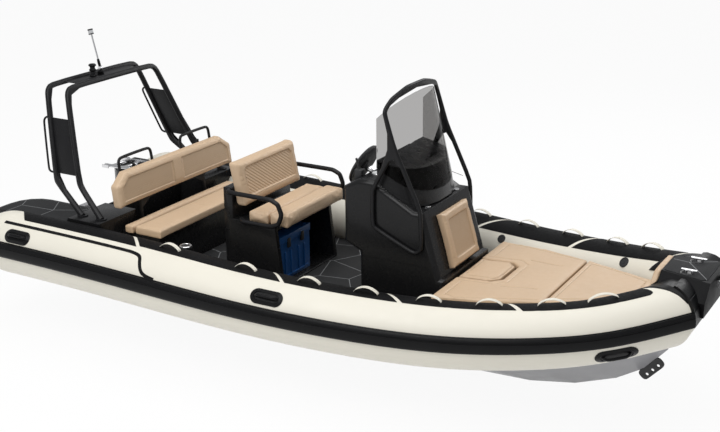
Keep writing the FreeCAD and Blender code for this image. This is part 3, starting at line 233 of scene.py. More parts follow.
def smoked_acrylic():
    material = base_material("smoked_acrylic", (0.43, 0.425, 0.42), 0.03)
    shader = shader_of(material)
    fill_inputs(shader, {"Transmission Weight": 1.0, "IOR": 1.04})
    haze = remap(material, noise(material, 30.0, 3.0), 0.3, 0.7, 0.02, 0.07)
    link(material, haze, shader.inputs["Roughness"])
    return material


def woven_strap():
    """Cream webbing with fine ribs across it."""
    material = uneven("webbing", CREAM, 0.6, 30.0, 0.05)
    ribs = texture(material, "ShaderNodeTexWave", 260.0, bands_direction="X")
    bump(material, ribs.outputs["Fac"], 0.0004, 0.5)
    return material


FABRIC = collar_fabric()
RUB = grained("rub_rubber", BLACK, 0.36, (6.0, 0.25), (700.0, 0.0005, 0.4), specular=0.17)
PATCH = grip_rubber()
HULL = gelcoat("hull_gelcoat", (0.38, 0.378, 0.392), 0.36)
GLOSS = gelcoat("console_gelcoat", (0.010, 0.010, 0.0105))
CAP = gelcoat("cap_gelcoat", (0.006, 0.006, 0.0065), 0.45, 0.0, 0.08)
FOAM = foam_deck()
VINYL = vinyl()
PUNCHED = punched_vinyl()
TUBE = grained("black_tube", (0.010, 0.010, 0.011), 0.40, (9.0, 0.25, 0.06), (320.0, 0.0003, 0.35),
               specular=0.22)
STEEL = polished_steel()
PLASTIC = moulded("dark_plastic", (0.018, 0.018, 0.019))
BLUE = moulded("cooler_plastic", (0.008, 0.075, 0.250), 0.4)
ACRYLIC = smoked_acrylic()
STRAP = woven_strap()
THREAD = moulded("stitch_thread", shade(TAN, 0.45), 0.7)
LENS = moulded("lamp_lens", (0.50, 0.51, 0.52), 0.2)
DIAL = moulded("dial_face", (0.65, 0.66, 0.66), 0.3)

slot_materials = {
    "collar_fabric": (FABRIC,), "black_rubber": (RUB, PATCH), "hull_gelcoat": (HULL,), "webbing": (STRAP,),
    "console_gelcoat": (GLOSS, CAP), "deck_foam": (FOAM,), "seat_vinyl": (VINYL, THREAD),
    "black_tube": (TUBE,), "stainless": (STEEL, LENS), "dark_plastic": (PLASTIC, DIAL),
    "cooler_plastic": (BLUE,), "smoked_acrylic": (ACRYLIC,),
}
slot_of = {material.name: slot for slot, materials in slot_materials.items() for material in materials}


# Making and handing over pieces

def hand_over(piece, surface, body="root", nodes=()):
    """Gives a piece its surface and body, and hides the nodes that it stands for."""
    piece.data.materials.clear()
    piece.data.materials.append(surface)
    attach(piece, body)
    if nodes:
        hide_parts(*nodes)
    return piece


def placed(name, mesh):
    piece = bpy.data.objects.new(name, mesh)
    scene.collection.objects.link(piece)
    return piece


def smooth_shaded(mesh, angle):
    mesh.polygons.foreach_set("use_smooth", [True] * len(mesh.polygons))
    mesh.set_sharp_from_angle(angle=math.radians(angle))


def gathered(parts):
    """The points and faces of several forms as one."""
    points, faces = [], []
    for more_points, more_faces in parts:
        start = len(points)
        points += more_points
        faces += [tuple(index + start for index in face) for face in more_faces]
    return points, faces


def new_piece(name, parts, surface, body="root", nodes=()):
    """One piece from a list of forms, each given by its points and faces."""
    points, faces = gathered(parts)
    mesh = bpy.data.meshes.new(name)
    mesh.from_pydata([tuple(point) for point in points], [], faces)
    mesh.validate()
    work = bmesh.new()
    work.from_mesh(mesh)
    bmesh.ops.recalc_face_normals(work, faces=work.faces)
    work.to_mesh(mesh)
    work.free()
    smooth_shaded(mesh, 38.0)
    return hand_over(placed(name, mesh), surface, body, nodes)


def clean_copy(node, name, whole=True):
    """The node's own form again, ready for bevels; whole joins the triangles of each flat face."""
    work = bmesh.new()
    work.from_mesh(NODES[node].data)
    bmesh.ops.remove_doubles(work, verts=work.verts, dist=0.00005)
    if whole:
        bmesh.ops.dissolve_limit(work, angle_limit=math.radians(1.5), verts=work.verts, edges=work.edges)
    mesh = bpy.data.meshes.new(name)
    work.to_mesh(mesh)
    work.free()
    custom = mesh.attributes.get("custom_normal")
    if custom:
        mesh.attributes.remove(custom)
    return placed(name, mesh)


def apply_modifiers(piece):
    shown = piece.evaluated_get(bpy.context.evaluated_depsgraph_get())
    mesh = bpy.data.meshes.new_from_object(shown)
    piece.modifiers.clear()
    piece.data = mesh


def bevelled(piece, width, segments, sharp):
    edge = piece.modifiers.new("Edges", "BEVEL")
    edge.width = width
    edge.segments = segments
    edge.limit_method = "ANGLE"
    edge.angle_limit = math.radians(sharp)


def subdivided(piece, levels):
    smooth = piece.modifiers.new("Smooth", "SUBSURF")
    smooth.levels = levels
    smooth.render_levels = levels


def refined(node, surface, width, body="root", segments=3, subdivide=0, sharp=35.0, whole=True):
    """Stands for a rigid node: the same form with rounded edges, and flat-sided tubes made round."""
    piece = clean_copy(node, node + "_finished", whole)
    bevelled(piece, width, segments, sharp)
    if subdivide:
        subdivided(piece, subdivide)
    apply_modifiers(piece)
    smooth_shaded(piece.data, 40.0)
    return hand_over(piece, surface, body, (node,))


def edged(piece, width):
    """Small rounded edges on a piece made from plain forms."""
    bevelled(piece, width, 2, 30.0)
    apply_modifiers(piece)
    smooth_shaded(piece.data, 40.0)


def read_vectors(source, key):
    flat = numpy.empty(len(source) * 3)
    source.foreach_get(key, flat)
    return flat.reshape(-1, 3)


def coordinates(mesh):
    return read_vectors(mesh.vertices, "co")


def normals(mesh):
    return read_vectors(mesh.vertex_normals, "vector")


def move_points(mesh, points):
    mesh.vertices.foreach_set("co", points.ravel())
    mesh.update()


# Forms, each as points and faces

def spaced(first, last, count):
    return [first + (last - first) * i / (count - 1) for i in range(count)]


def around(count):
    return [2 * math.pi * k / count for k in range(count)]


def ended(rows):
    """A closed form through rings of points, with a face over each end."""
    count = len(rows[0])
    points = [point for row in rows for point in row]
    faces = []
    for start in range(0, len(points) - count, count):
        for i in range(count):
            following = (i + 1) % count
            faces.append((start + i, start + following, start + count + following, start + count + i))
    faces.append(tuple(range(count)))
    faces.append(tuple(len(points) - count + i for i in range(count)))
    return points, faces


def lathe(profile, centre, axis, steps=32):
    """A turned form: profile holds (radius, distance along the axis)."""
    axis = axis.normalized()
    side = axis.orthogonal().normalized()
    other = axis.cross(side)
    return ended([[centre + axis * height + (side * math.cos(turn) + other * math.sin(turn)) * radius
                   for turn in around(steps)] for radius, height in profile])


def bent_rod(path, radius, sides, flat=1.0, across=None):
    """A round or flattened bar along a smooth path of points."""
    rows = []
    side = across or (path[1] - path[0]).orthogonal()
    for i, point in enumerate(path):
        before = path[max(i - 1, 0)]
        after = path[min(i + 1, len(path) - 1)]
        along = (after - before).normalized()
        side = (side - along * side.dot(along)).normalized()
        other = along.cross(side)
        rows.append([point + side * (radius * math.cos(turn)) + other * (radius * flat * math.sin(turn))
                     for turn in around(sides)])
    return ended(rows)


def tilted_box(centre, right, above, size):
    """A box with its faces along right, above and the direction square to both."""
    half = [axis * (length / 2) for axis, length in zip((right, above, right.cross(above)), size)]
    return ended([[centre + half[0] * x + half[1] * y + half[2] * z
                   for x, y in ((-1, -1), (-1, 1), (1, 1), (1, -1))] for z in SIDES])


def strap_row(top, low, across):
    """The four corners of a flat strip's cut end; across is half its width."""
    return [top - across, top + across, low + across, low - across]


def plate_form(outline, low_z, high_z):
    """A plate over an outline of X and Y; low_z and high_z give heights for an X."""
    return ended([[V((x, y, height(x))) for x, y in outline] for height in (low_z, high_z)])


# The collar's form

mitre_x = 5.035
half_beam = 0.997
centre_z = 0.292
bow_rise = 0.230
full_radius = 0.254
shoulder_x = -0.150
cone_length = 0.300
cone_tip_radius = 0.120
cone_rows = 9
tube_rows = 96
collar_steps = 72
skin_sink = -0.002
# Shares of mitre_x, half_beam, bow_rise and full_radius at each station
plan_shares = (
    (0.000, 1.000, 0.20, 1.000), (0.120, 1.000, 0.18, 1.000), (0.278, 1.000, 0.10, 1.000),
    (0.437, 1.000, 0.00, 0.960), (0.596, 0.964, 0.00, 0.930), (0.755, 0.831, 0.08, 0.895),
    (0.854, 0.697, 0.30, 0.855), (0.933, 0.534, 0.60, 0.825), (1.000, 0.319, 1.00, 0.820),
)


def natural_spline(xs, ys):
    """A smooth curve through the stations, with no bend at either end."""
    count = len(xs)
    steps = [xs[i + 1] - xs[i] for i in range(count - 1)]
    low, right = [0.0] * count, [0.0] * count
    for i in range(1, count - 1):
        slope = 3 * ((ys[i + 1] - ys[i]) / steps[i] - (ys[i] - ys[i - 1]) / steps[i - 1])
        middle = 2 * (xs[i + 1] - xs[i - 1]) - steps[i - 1] * low[i - 1]
        low[i] = steps[i] / middle
        right[i] = (slope - steps[i - 1] * right[i - 1]) / middle
    curve = [0.0] * count
    for i in range(count - 2, 0, -1):
        curve[i] = right[i] - low[i] * curve[i + 1]

    def value(x):
        i = 0
        while i < count - 2 and x > xs[i + 1]:
            i += 1
        run = x - xs[i]
        slope = (ys[i + 1] - ys[i]) / steps[i] - steps[i] * (curve[i + 1] + 2 * curve[i]) / 3
        twist = (curve[i + 1] - curve[i]) / (3 * steps[i])
        return ys[i] + slope * run + curve[i] * run ** 2 + twist * run ** 3

    return value


station_x = [share[0] * mitre_x for share in plan_shares]
plan_y = natural_spline(station_x, [share[1] * half_beam for share in plan_shares])
plan_z = natural_spline(station_x, [centre_z + share[2] * bow_rise for share in plan_shares])
plan_radius = natural_spline(station_x, [share[3] * full_radius for share in plan_shares])


def collar_centre(x):
    inside = max(x, 0.0)
    slope_run = 0.01
    return V((x, plan_y(inside), plan_z(inside) + (x - inside) * (plan_z(slope_run) - plan_z(0)) / slope_run))


def collar_frame(x):
    half_run = 0.005
    along = (collar_centre(x + half_run) - collar_centre(x - half_run)).normalized()
    out = UP.cross(along).normalized()
    return collar_centre(x), along, out, along.cross(out), plan_radius(max(x, 0.0))


def skin_point(x, angle, proud):
    centre, _, out, lift, radius = collar_frame(x)
    turn = math.radians(angle)
    return centre + (out * math.cos(turn) + lift * math.sin(turn)) * (radius + proud)


def on_side(point, side):
    return V((point.x, point.y * side, point.z))


def collar_point(x, angle, proud, side=-1):
    """A point over the collar's skin; angle 0 faces outboard and 90 up. side -1 is starboard."""
    return on_side(skin_point(x, angle, proud), side)


def collar_seat(x, angle, proud, side, reach=0.01):
    """A point on the collar and the direction that leads away from the skin there."""
    seat = collar_point(x, angle, proud, side)
    return seat, (collar_point(x, angle, reach, side) - seat).normalized()


def mitre_point(angle, proud, side):
    """Where the side tube's skin meets the bow tube's, on the plane that halves their angle."""
    centre, along, _, _, _ = collar_frame(mitre_x)
    flat = V((along.x, along.y, 0)).normalized()
    crease = (ACROSS * -1 - flat).normalized()
    normal = UP.cross(crease).normalized()
    start = skin_point(mitre_x, angle, proud)
    return on_side(start + along * ((centre - start).dot(normal) / along.dot(normal)), side)


def mitre_ring(side, angles, prouds):
    return [mitre_point(angle, proud, side) for angle, proud in zip(angles, prouds)]


def full_ring(side):
    return mitre_ring(side, [360 * i / collar_steps for i in range(collar_steps)], [0] * collar_steps)


def side_tube(side, word):
    centre = collar_centre(shoulder_x)
    rows = []
    for share in spaced(0, 1, cone_rows):
        x = shoulder_x - cone_length * (1 - share)
        radius = cone_tip_radius + (full_radius - cone_tip_radius) * math.sin(share * math.pi / 2) ** 0.9
        rows.append([V((x, (centre.y + math.cos(turn) * radius) * side, centre.z + math.sin(turn) * radius))
                     for turn in around(collar_steps)])
    for x in spaced(shoulder_x + 0.02, mitre_x - 0.16, tube_rows):
        rows.append([collar_point(x, 360 * k / collar_steps, 0, side) for k in range(collar_steps)])
    rows.append(full_ring(side))
    node = "tube_" + word
    new_piece(node + "_skin", [ended(rows)], FABRIC, nodes=(node,))


def between_mitres(ends, steps=12):
    return [[low.lerp(high, i / steps) for low, high in zip(*ends)] for i in range(steps + 1)]


def bow_tube():
    rows = between_mitres([full_ring(side) for side in SIDES])
    new_piece("tube_bow_skin", [ended(rows)], FABRIC, nodes=("tube_bow",))


def wrapped(start, end, angles, height, length_steps, side, edge):
    """A sheet laid on the collar. start and end give its X for an angle, and its rim drops by edge."""
    rows = []
    last = len(angles) - 1
    for i in range(length_steps + 1):
        top, under = [], []
        for k, angle in enumerate(angles):
            x = start(angle) + (end(angle) - start(angle)) * (i / length_steps)
            rim = min(i, length_steps - i, k, last - k) == 0
            top.append(collar_point(x, angle, height - (edge if rim else 0), side))
            under.append(collar_point(x, angle, skin_sink, side))
        rows.append(top + under[::-1])
    return ended(rows)


# Seam tapes

panel_joint_shares = (0.200, 0.437, 0.610, 0.745, 0.860, 0.955)
tape_half_width = 0.02
tape_height = 0.0011
tape_edge = 0.0008
shoulder_tape = (0.002, 0.05)
tape_angles = spaced(23.0, 330.0, 61)


def seam_tape(first, last, side):
    return wrapped(lambda angle: first, lambda angle: last, tape_angles, tape_height, 2, side, tape_edge)


def seam_tapes():
    parts = []
    for side in SIDES:
        for share in panel_joint_shares:
            x = share * mitre_x
            parts.append(seam_tape(x - tape_half_width, x + tape_half_width, side))
        parts.append(seam_tape(*[shoulder_x + run for run in shoulder_tape], side))
    new_piece("collar_seam_tapes", parts, FABRIC)


# Rubbing strake, bow guard and the sheet under the bow cap
# Each profile holds (angle, height over the skin)

rub_profile = (
    (-7.0, 0.002), (-5.6, 0.004), (-5.2, 0.017), (-3.4, 0.023), (0.0, 0.0245), (6.0, 0.0245),
    (10.4, 0.023), (11.2, 0.0185), (12.2, 0.0185), (13.0, 0.0235), (16.0, 0.0225), (19.4, 0.017),
    (20.2, 0.004), (22.0, 0.002),
)
strake_start_x = -0.140
strake_rows = 130
guard_profile = (
    (-7.0, 0.002), (-5.6, 0.006), (-5.0, 0.019), (-3.4, 0.0245), (6.0, 0.0255), (16.0, 0.0255),
    (20.4, 0.0245), (21.4, 0.0200), (22.6, 0.0200), (23.6, 0.0245), (32.0, 0.0250), (40.4, 0.0245),
    (41.4, 0.0200), (42.6, 0.0200), (43.6, 0.0245), (56.0, 0.0240), (70.0, 0.0235), (76.0, 0.0180),
    (78.0, 0.0045),
    (90.0, 0.0045), (102.0, 0.0045), (114.0, 0.0045), (126.0, 0.0045), (138.0, 0.0045), (150.0, 0.0040),
)
# The bow sheet's aft edge, as (angle, X)
apron_edge = ((38.0, 5.128), (46.0, 5.118), (58.0, 5.098), (70.0, 5.072), (80.0, 5.045), (90.0, 5.018),
              (100.0, 4.995), (115.0, 4.972), (132.0, 4.955), (150.0, 4.945))
apron_height = 0.005
apron_rim = 0.0035
apron_sink = -0.004
apron_steps = 8


def closed_profile(profile):
    """The profile of a strip with an underside a little way into the tube."""
    low, high = profile[0][0], profile[-1][0]
    return profile + tuple((high + (low - high) * i / 6, -0.003) for i in range(7))


def rub_strake(side):
    profile = closed_profile(rub_profile)
    rows = [[collar_point(x, angle, proud, side) for angle, proud in profile]
            for x in spaced(strake_start_x, mitre_x, strake_rows)]
    rows.append(mitre_ring(side, *zip(*profile)))
    return ended(rows)


def bow_guard():
    """The ribbed rubber that wraps the front of the bow tube and the sheet over its top."""
    angles, prouds = zip(*closed_profile(guard_profile))
    rows = between_mitres([mitre_ring(side, angles, prouds) for side in SIDES], 24)
    new_piece("bow_guard_ribbed", [ended(rows)], RUB, nodes=("bow_guard",))


def bow_apron(side):
    """The black sheet on the tube under the bow cap, up to the mitre seam."""
    starts = natural_spline(*zip(*apron_edge))
    rows = []
    for i in range(apron_steps + 1):
        share = i / apron_steps
        first_height = apron_height if i else apron_height - apron_rim
        top, under = [], []
        for angle in spaced(apron_edge[0][0], apron_edge[-1][0], 30):
            start = min(starts(angle), mitre_point(angle, 0, -1).x - 0.004)
            for line, first, last in ((top, first_height, apron_height), (under, apron_sink, apron_sink)):
                edge = collar_point(start, angle, first, side)
                line.append(edge.lerp(mitre_point(angle, last, side), share))
        rows.append(top + under[::-1])
    return ended(rows)


def tube_end_cap(side):
    """A black rubber disc over the flat tip of a cone."""
    centre = collar_centre(shoulder_x)
    tip = V((shoulder_x - cone_length, centre.y * side, centre.z))
    wide, narrow = cone_tip_radius * 0.97, cone_tip_radius * 0.9
    return lathe(((wide, -0.002), (wide, 0.004), (narrow, 0.007), (0.001, 0.007)), tip, ASTERN, 48)


# Top patches and the thin line under the aft one

patch_ends = (-0.070, 1.080, 2.385, 3.290, 4.130, 4.990)
patch_slants = (-0.0046, -0.0046, -0.0046, -0.0040, -0.0026)
patch_low_angles = (73.0, 76.0, 76.0, 76.0, 74.0)
patch_high_angle = 129.0
patch_middle_angle = 102.0
patch_gap = 0.036
patch_height = 0.004
# The aft trim line's path, as (X, angle)
line_path = ((-0.100, 60.0), (0.200, 60.0), (0.700, 60.0), (1.100, 60.0), (1.210, 59.6), (1.275, 57.5),
             (1.312, 52.5), (1.328, 46.0), (1.342, 40.0), (1.358, 34.0), (1.382, 28.5), (1.425, 24.5),
             (1.500, 22.0))
line_half_width = 0.0135
line_height = 0.0014
line_steps = 120


def slanted(x, slant):
    def edge(angle):
        return x + (angle - patch_middle_angle) * slant
    return edge


def rounded_end(x):
    """The foremost patch's end: drawn back inboard, with its outboard corner rounded."""
    def edge(angle):
        inboard = max(0.0, angle - 78.0) / 51.0
        corner = max(0.0, 80.0 - angle) / 6.0
        return x - 0.085 * inboard ** 1.5 - 0.020 * corner ** 2
    return edge


def top_patches(side):
    starts = [slanted(x + (patch_gap if i else 0), patch_slants[i]) for i, x in enumerate(patch_ends[:-1])]
    ends = [slanted(x, slant) for x, slant in zip(patch_ends[1:-1], patch_slants[1:])]
    ends.append(rounded_end(patch_ends[-1]))
    parts = []
    for i, low in enumerate(patch_low_angles):
        steps = max(8, round((patch_ends[i + 1] - patch_ends[i]) / 0.05))
        angles = spaced(low, patch_high_angle, 15)
        parts.append(wrapped(starts[i], ends[i], angles, patch_height, steps, side, 0.0015))
    return parts


def trim_line(side):
    """The thin black line that runs under the top patch and turns down into the rubbing strake."""
    xs, angles = zip(*line_path)
    steps = natural_spline(range(len(xs)), xs)
    turns = natural_spline(range(len(xs)), angles)
    rows = []
    for t in spaced(0, len(xs) - 1, line_steps):
        middle = collar_point(steps(t), turns(t), line_height, side)
        ahead = collar_point(steps(t + 0.02), turns(t + 0.02), line_height, side)
        under = collar_point(steps(t), turns(t), skin_sink, side)
        normal = (middle - under).normalized()
        across = (ahead - middle).normalized().cross(normal) * line_half_width
        rows.append(strap_row(middle, under, across))
    return ended(rows)


# Grab loops, lifting handles and valves

loop_x = (1.479, 2.175, 2.710, 3.149, 3.601, 4.015, 4.415, 4.724)
loop_half_length = 0.088
loop_half_width = 0.0165
loop_height = 0.040
loop_thickness = 0.0035
handle_places = ((0.105, 36.0), (2.470, 40.0), (4.730, -29.0))
# The handle plate's rings, as (half length, half width, height over the skin)
handle_rings = ((0.130, 0.056, -0.003), (0.130, 0.056, 0.004), (0.126, 0.052, 0.0065), (0.106, 0.036, 0.0070),
                (0.101, 0.032, 0.0095), (0.096, 0.028, 0.0045), (0.050, 0.014, 0.0035))
grip_half_length = 0.090
grip_lift = 0.034
grip_radius = 0.0125
valve_places = ((4.600, 141.0, 0.040), (3.460, 141.0, 0.034))
# The valve's profile, as (share of its radius, height)
valve_profile_shares = ((1, -0.004), (1, 0.006), (0.93, 0.009), (0.8, 0.0095), (0.76, 0.0065), (0.3, 0.0065),
                        (0.26, 0.0085))


def grab_loop(x, side):
    """A strap with its two ends glued down and a raised hoop between them."""
    aft = collar_point(x - loop_half_length, 90.0, 0, side)
    along = (collar_point(x + loop_half_length, 90.0, 0, side) - aft).normalized()
    rows = []
    for i in range(25):
        t = -1 + 2 * i / 24
        height = loop_height * max(0.0, math.cos(t * math.pi / 2)) ** 0.7
        base, normal = collar_seat(x + loop_half_length * t, 90.0, 0.0055, side, 0.0065)
        across = along.cross(normal).normalized() * loop_half_width
        rows.append(strap_row(base + normal * (height + loop_thickness), base + normal * height, across))
    return ended(rows)


def lift_handle(x, angle, side):
    """An oval plate with a hollow, and a flat grip that bridges it."""
    middle, normal = collar_seat(x, angle, 0.0, side)
    along = (collar_point(x + 0.05, angle, 0, side) - collar_point(x - 0.05, angle, 0, side)).normalized()
    across = along.cross(normal).normalized()
    radius = plan_radius(max(x, 0.0))
    flip = 1 if across.dot(UP) > 0 else -1

    def ring(length, width, proud):
        points = []
        for k in range(48):
            turn = 2 * math.pi * (k + 0.5) / 48
            run = width * math.cos(turn) + math.copysign(length - width, math.cos(turn))
            rise = math.degrees(flip * width * math.sin(turn) / radius)
            points.append(collar_point(x + run * along.x, angle + rise, proud, side))
        return points

    path = []
    for i in range(21):
        t = -1 + 2 * i / 20
        lift = grip_lift * (1 - t ** 6)
        path.append(middle + along * (grip_half_length * t) + normal * (0.001 + lift * 0.8))
    return [ended([ring(*size) for size in handle_rings]), bent_rod(path, grip_radius, 14, 0.75, across)]


def valve(x, angle, radius, side):
    seat, normal = collar_seat(x, angle, -0.003, side)
    profile = [(radius * share, height) for share, height in valve_profile_shares]
    return lathe(profile + [(0.001, valve_profile_shares[-1][1])], seat, normal, 36)


def collar_trim():
    for side, word in zip(SIDES, ("starboard", "port")):
        side_tube(side, word)
        new_piece("trim_line_" + word, [trim_line(side)], RUB)
    bow_tube()
    seam_tapes()
    new_piece("rub_strakes_ribbed", [rub_strake(side) for side in SIDES], RUB, nodes=("rubstrakes",))
    bow_guard()
    new_piece("bow_aprons", [bow_apron(side) for side in SIDES] + [tube_end_cap(side) for side in SIDES], RUB)
    new_piece("top_patches_grip", top_patches(-1) + top_patches(1), PATCH, nodes=("top_patches",))
    loops = [grab_loop(x, side) for x in loop_x for side in SIDES]
    new_piece("grab_loop_straps", loops, STRAP, nodes=("grab_loops",))
    handles = [part for side in SIDES for place in handle_places for part in lift_handle(*place, side)]
    new_piece("lift_handles_moulded", handles, RUB, nodes=("lift_handles",))
    valves = [valve(*place, side) for side in SIDES for place in valve_places]
    new_piece("inflation_valves_turned", valves, PLASTIC, nodes=("inflation_valves",))


# Cushions: shapes, filling and seams

rest_clear = 0.0012
settle_frames = 20
cover_settings = {
    "quality": 3, "mass": 0.25, "tension_stiffness": 22, "compression_stiffness": 22,
    "bending_stiffness": 0.8, "use_pressure": True, "uniform_pressure_force": 4.0,
}
facing_share = 0.25


def base_plane(node, downward):
    """The point and direction of the node's largest flat face that looks along downward."""
    groups = {}
    for face in NODES[node].data.polygons:
        if face.normal.dot(downward) > 0.9:
            key = tuple(round(c, 2) for c in face.normal)
            groups.setdefault(key, []).append(face)
    best = max(groups.values(), key=lambda faces: sum(face.area for face in faces))
    return best[0].center.copy(), best[0].normal.copy()


def remeshed(piece, size):
    changer = piece.modifiers.new("Voxels", "REMESH")
    changer.mode = "VOXEL"
    changer.voxel_size = size
    apply_modifiers(piece)


def swollen(piece, most):
    """Fills the cover with a little pressure, lets it settle, and keeps each point within a short way."""
    start = coordinates(piece.data)
    cloth = piece.modifiers.new("Cover", "CLOTH")
    for key, value in cover_settings.items():
        setattr(cloth.settings, key, value)
    cloth.settings.effector_weights.gravity = 0
    cloth.collision_settings.use_collision = False
    cloth.point_cache.frame_start = 1
    cloth.point_cache.frame_end = settle_frames
    for number in range(1, settle_frames + 1):
        scene.frame_set(number)
    shown = piece.evaluated_get(bpy.context.evaluated_depsgraph_get())
    step = coordinates(shown.data) - start
    piece.modifiers.clear()
    scene.frame_set(1)
    length = numpy.linalg.norm(step, axis=1)
    share = numpy.minimum(1.0, most / numpy.maximum(length, 1e-9))
    move_points(piece.data, start + step * share[:, None])


def distance_to_line(points, line):
    """How far each point is from a line of straight stretches."""
    nearest = numpy.full(len(points), 1e9)
    for first, second in zip(line, line[1:]):
        run = numpy.array(second - first)
        along = numpy.clip((points - numpy.array(first)) @ run / max(run @ run, 1e-12), 0.0, 1.0)
        gap = points - numpy.array(first) - along[:, None] * run
        nearest = numpy.minimum(nearest, numpy.linalg.norm(gap, axis=1))
    return nearest


def flattened(line, face):
    return [point - face * point.dot(face) for point in line]


def flattened_points(points, face):
    direction = numpy.array(face)
    return points - (points @ direction)[:, None] * direction


def pressed(piece, face, depth_at):
    """Pushes in the side of a pad that looks along face; depth_at gives a depth for flattened points."""
    points = coordinates(piece.data)
    direction = numpy.array(face)
    chosen = normals(piece.data) @ direction > facing_share
    points[chosen] -= depth_at(flattened_points(points[chosen], face))[:, None] * direction
    move_points(piece.data, points)


def sewn(piece, face, seams, width, depth):
    """Presses stitched seams into the side of the pad that looks along face."""
    lines = [flattened(seam, face) for seam in seams]

    def depth_at(flat):
        near = numpy.min([distance_to_line(flat, line) for line in lines], axis=0)
        return numpy.where(near < width, depth * (0.5 + 0.5 * numpy.cos(numpy.pi * near / width)), 0.0)

    pressed(piece, face, depth_at)


def depth_inside(flat, corners, face):
    """How far inside a convex outline each flattened point lies; less than nothing outside."""
    outline = flattened(corners, face)
    middle = sum(outline, V((0, 0, 0))) / len(outline)
    depths = []
    for first, second in zip(outline, outline[1:] + outline[:1]):
        inward = face.cross(second - first).normalized()
        if (middle - first).dot(inward) < 0:
            inward *= -1
        depths.append((flat - numpy.array(first)) @ numpy.array(inward))
    return numpy.min(depths, axis=0)


def sunk_panel(piece, face, corners, depth, shoulder):
    """Sinks the part of the pad inside a convex outline, with a rounded shoulder."""

    def depth_at(flat):
        share = numpy.clip(depth_inside(flat, corners, face) / shoulder, 0.0, 1.0)
        return depth * (0.5 - 0.5 * numpy.cos(numpy.pi * share))

    pressed(piece, face, depth_at)


def punched_inside(piece, face, outlines):
    """Gives the side that looks along face punched cloth inside the outlines."""
    polygons = piece.data.polygons
    flat = flattened_points(read_vectors(polygons, "center"), face)
    inside = numpy.zeros(len(polygons), dtype=bool)
    for outline in outlines:
        inside |= depth_inside(flat, outline, face) > 0
    inside &= read_vectors(polygons, "normal") @ numpy.array(face) > 0.8
    piece.data.materials.append(PUNCHED)
    polygons.foreach_set("material_index", inside.astype(numpy.int32))


def stitch_row(piece, seams, face, name, body):
    """Short threads that lie in each seam, on the cover's own surface."""
    spacing, length, radius = 0.009, 0.0055, 0.0009
    bpy.context.view_layer.update()
    parts = []
    for seam in seams:
        for first, second in zip(seam, seam[1:]):
            run = second - first
            along = run.normalized()
            for i in range(int(run.length / spacing)):
                middle = first + along * (spacing * (i + 0.5))
                ends = []
                for step in (-length / 2, length / 2):
                    hit, place, _, _ = piece.ray_cast(middle + along * step + face * 0.2, face * -1)
                    if hit:
                        ends.append(place + face * (radius * 0.4))
                if len(ends) == 2 and (ends[1] - ends[0]).length < 2 * length:
                    parts.append(bent_rod(ends, radius, 4))
    if parts:
        new_piece(name, parts, THREAD, body)


def cushion(node, down, voxel, rounding, body="root", face=UP, seams=(), stitches=None, stem=None,
            seam_width=0.011, seam_depth=0.006, recess=None, most=0.010, inset=0.004):
    """A stuffed cushion in a vinyl cover: rounded, filled, pressed flat where it rests, then sewn.

    down leads to the face that rests on the boat, and face is the side with the seams. most is how
    far the filling may push the cover out, after it was drawn in by inset.
    """
    stem = stem or node
    point, normal = base_plane(node, down)
    piece = clean_copy(node, stem + "_cover")
    bevelled(piece, rounding, 4, 40.0)
    apply_modifiers(piece)
    remeshed(piece, voxel)
    move_points(piece.data, coordinates(piece.data) - normals(piece.data) * inset)
    swollen(piece, most)
    points = coordinates(piece.data)
    over = (points - numpy.array(point)) @ numpy.array(normal) + rest_clear
    move_points(piece.data, points - numpy.maximum(over, 0.0)[:, None] * numpy.array(normal))
    subdivided(piece, 1)
    apply_modifiers(piece)
    if recess:
        recess(piece)
    if seams:
        sewn(piece, face, seams, seam_width, seam_depth)
    smooth_shaded(piece.data, 60.0)
    hand_over(piece, VINYL, body, (node,))
    stitch_row(piece, seams if stitches is None else stitches, face, stem + "_stitches", body)
    return piece


def closed(corners):
    return corners + corners[:1]


def bow_cushions():
    deck_slope = 0.0571
    slope = V((-math.sin(deck_slope), 0, math.cos(deck_slope)))
    down = slope * -1

    def deck(*pairs):
        return [V((x, y, 0.5)) for x, y in pairs]

    seams = []
    for side in SIDES:
        for line in (((3.555, 0.300), (3.555, 0.555), (3.640, 0.585), (4.200, 0.425)),
                     ((3.855, 0.285), (4.060, 0.250), (4.120, 0.250))):
            seams.append(deck(*[(x, y * side) for x, y in line]))
    seams.append(deck((3.515, -0.262), (3.790, -0.262), (3.872, -0.190), (3.872, 0.190), (3.790, 0.262),
                      (3.515, 0.262)))
    cushion("bow_cushion", down, voxel=0.0118, rounding=0.008, face=slope, seams=seams, seam_width=0.012,
            seam_depth=0.005, most=0.004, inset=0.001)
    seams = [closed(deck((3.525, -0.165), (3.735, -0.165), (3.775, -0.125), (3.775, 0.125), (3.735, 0.165),
                         (3.525, 0.165)))]
    cushion("bow_hatch_cushion", down, voxel=0.0085, rounding=0.009, face=slope, seams=seams,
            stem="bow_hatch", seam_width=0.010, seam_depth=0.005)
    seams = [deck((4.290, -0.375), (4.290, 0.375)),
             deck((4.290, -0.375), (4.560, -0.270), (4.765, -0.165), (4.765, 0.165), (4.560, 0.270),
                  (4.290, 0.375))]
    cushion("bow_lid", down, voxel=0.0105, rounding=0.008, body="bow_hatch", face=slope, seams=seams,
            seam_depth=0.005, most=0.004, inset=0.001)
    cushion("bow_bolster", AHEAD, voxel=0.0085, rounding=0.009)


def leaning(foot, head):
    """A function that places a Y and a run up a leaning pad, and the direction that the pad looks."""
    lean = (head - foot).normalized()
    face = ACROSS.cross(lean).normalized()

    def place(y, run):
        return foot + ACROSS * y + lean * run

    return place, face if face.x > 0 else face * -1


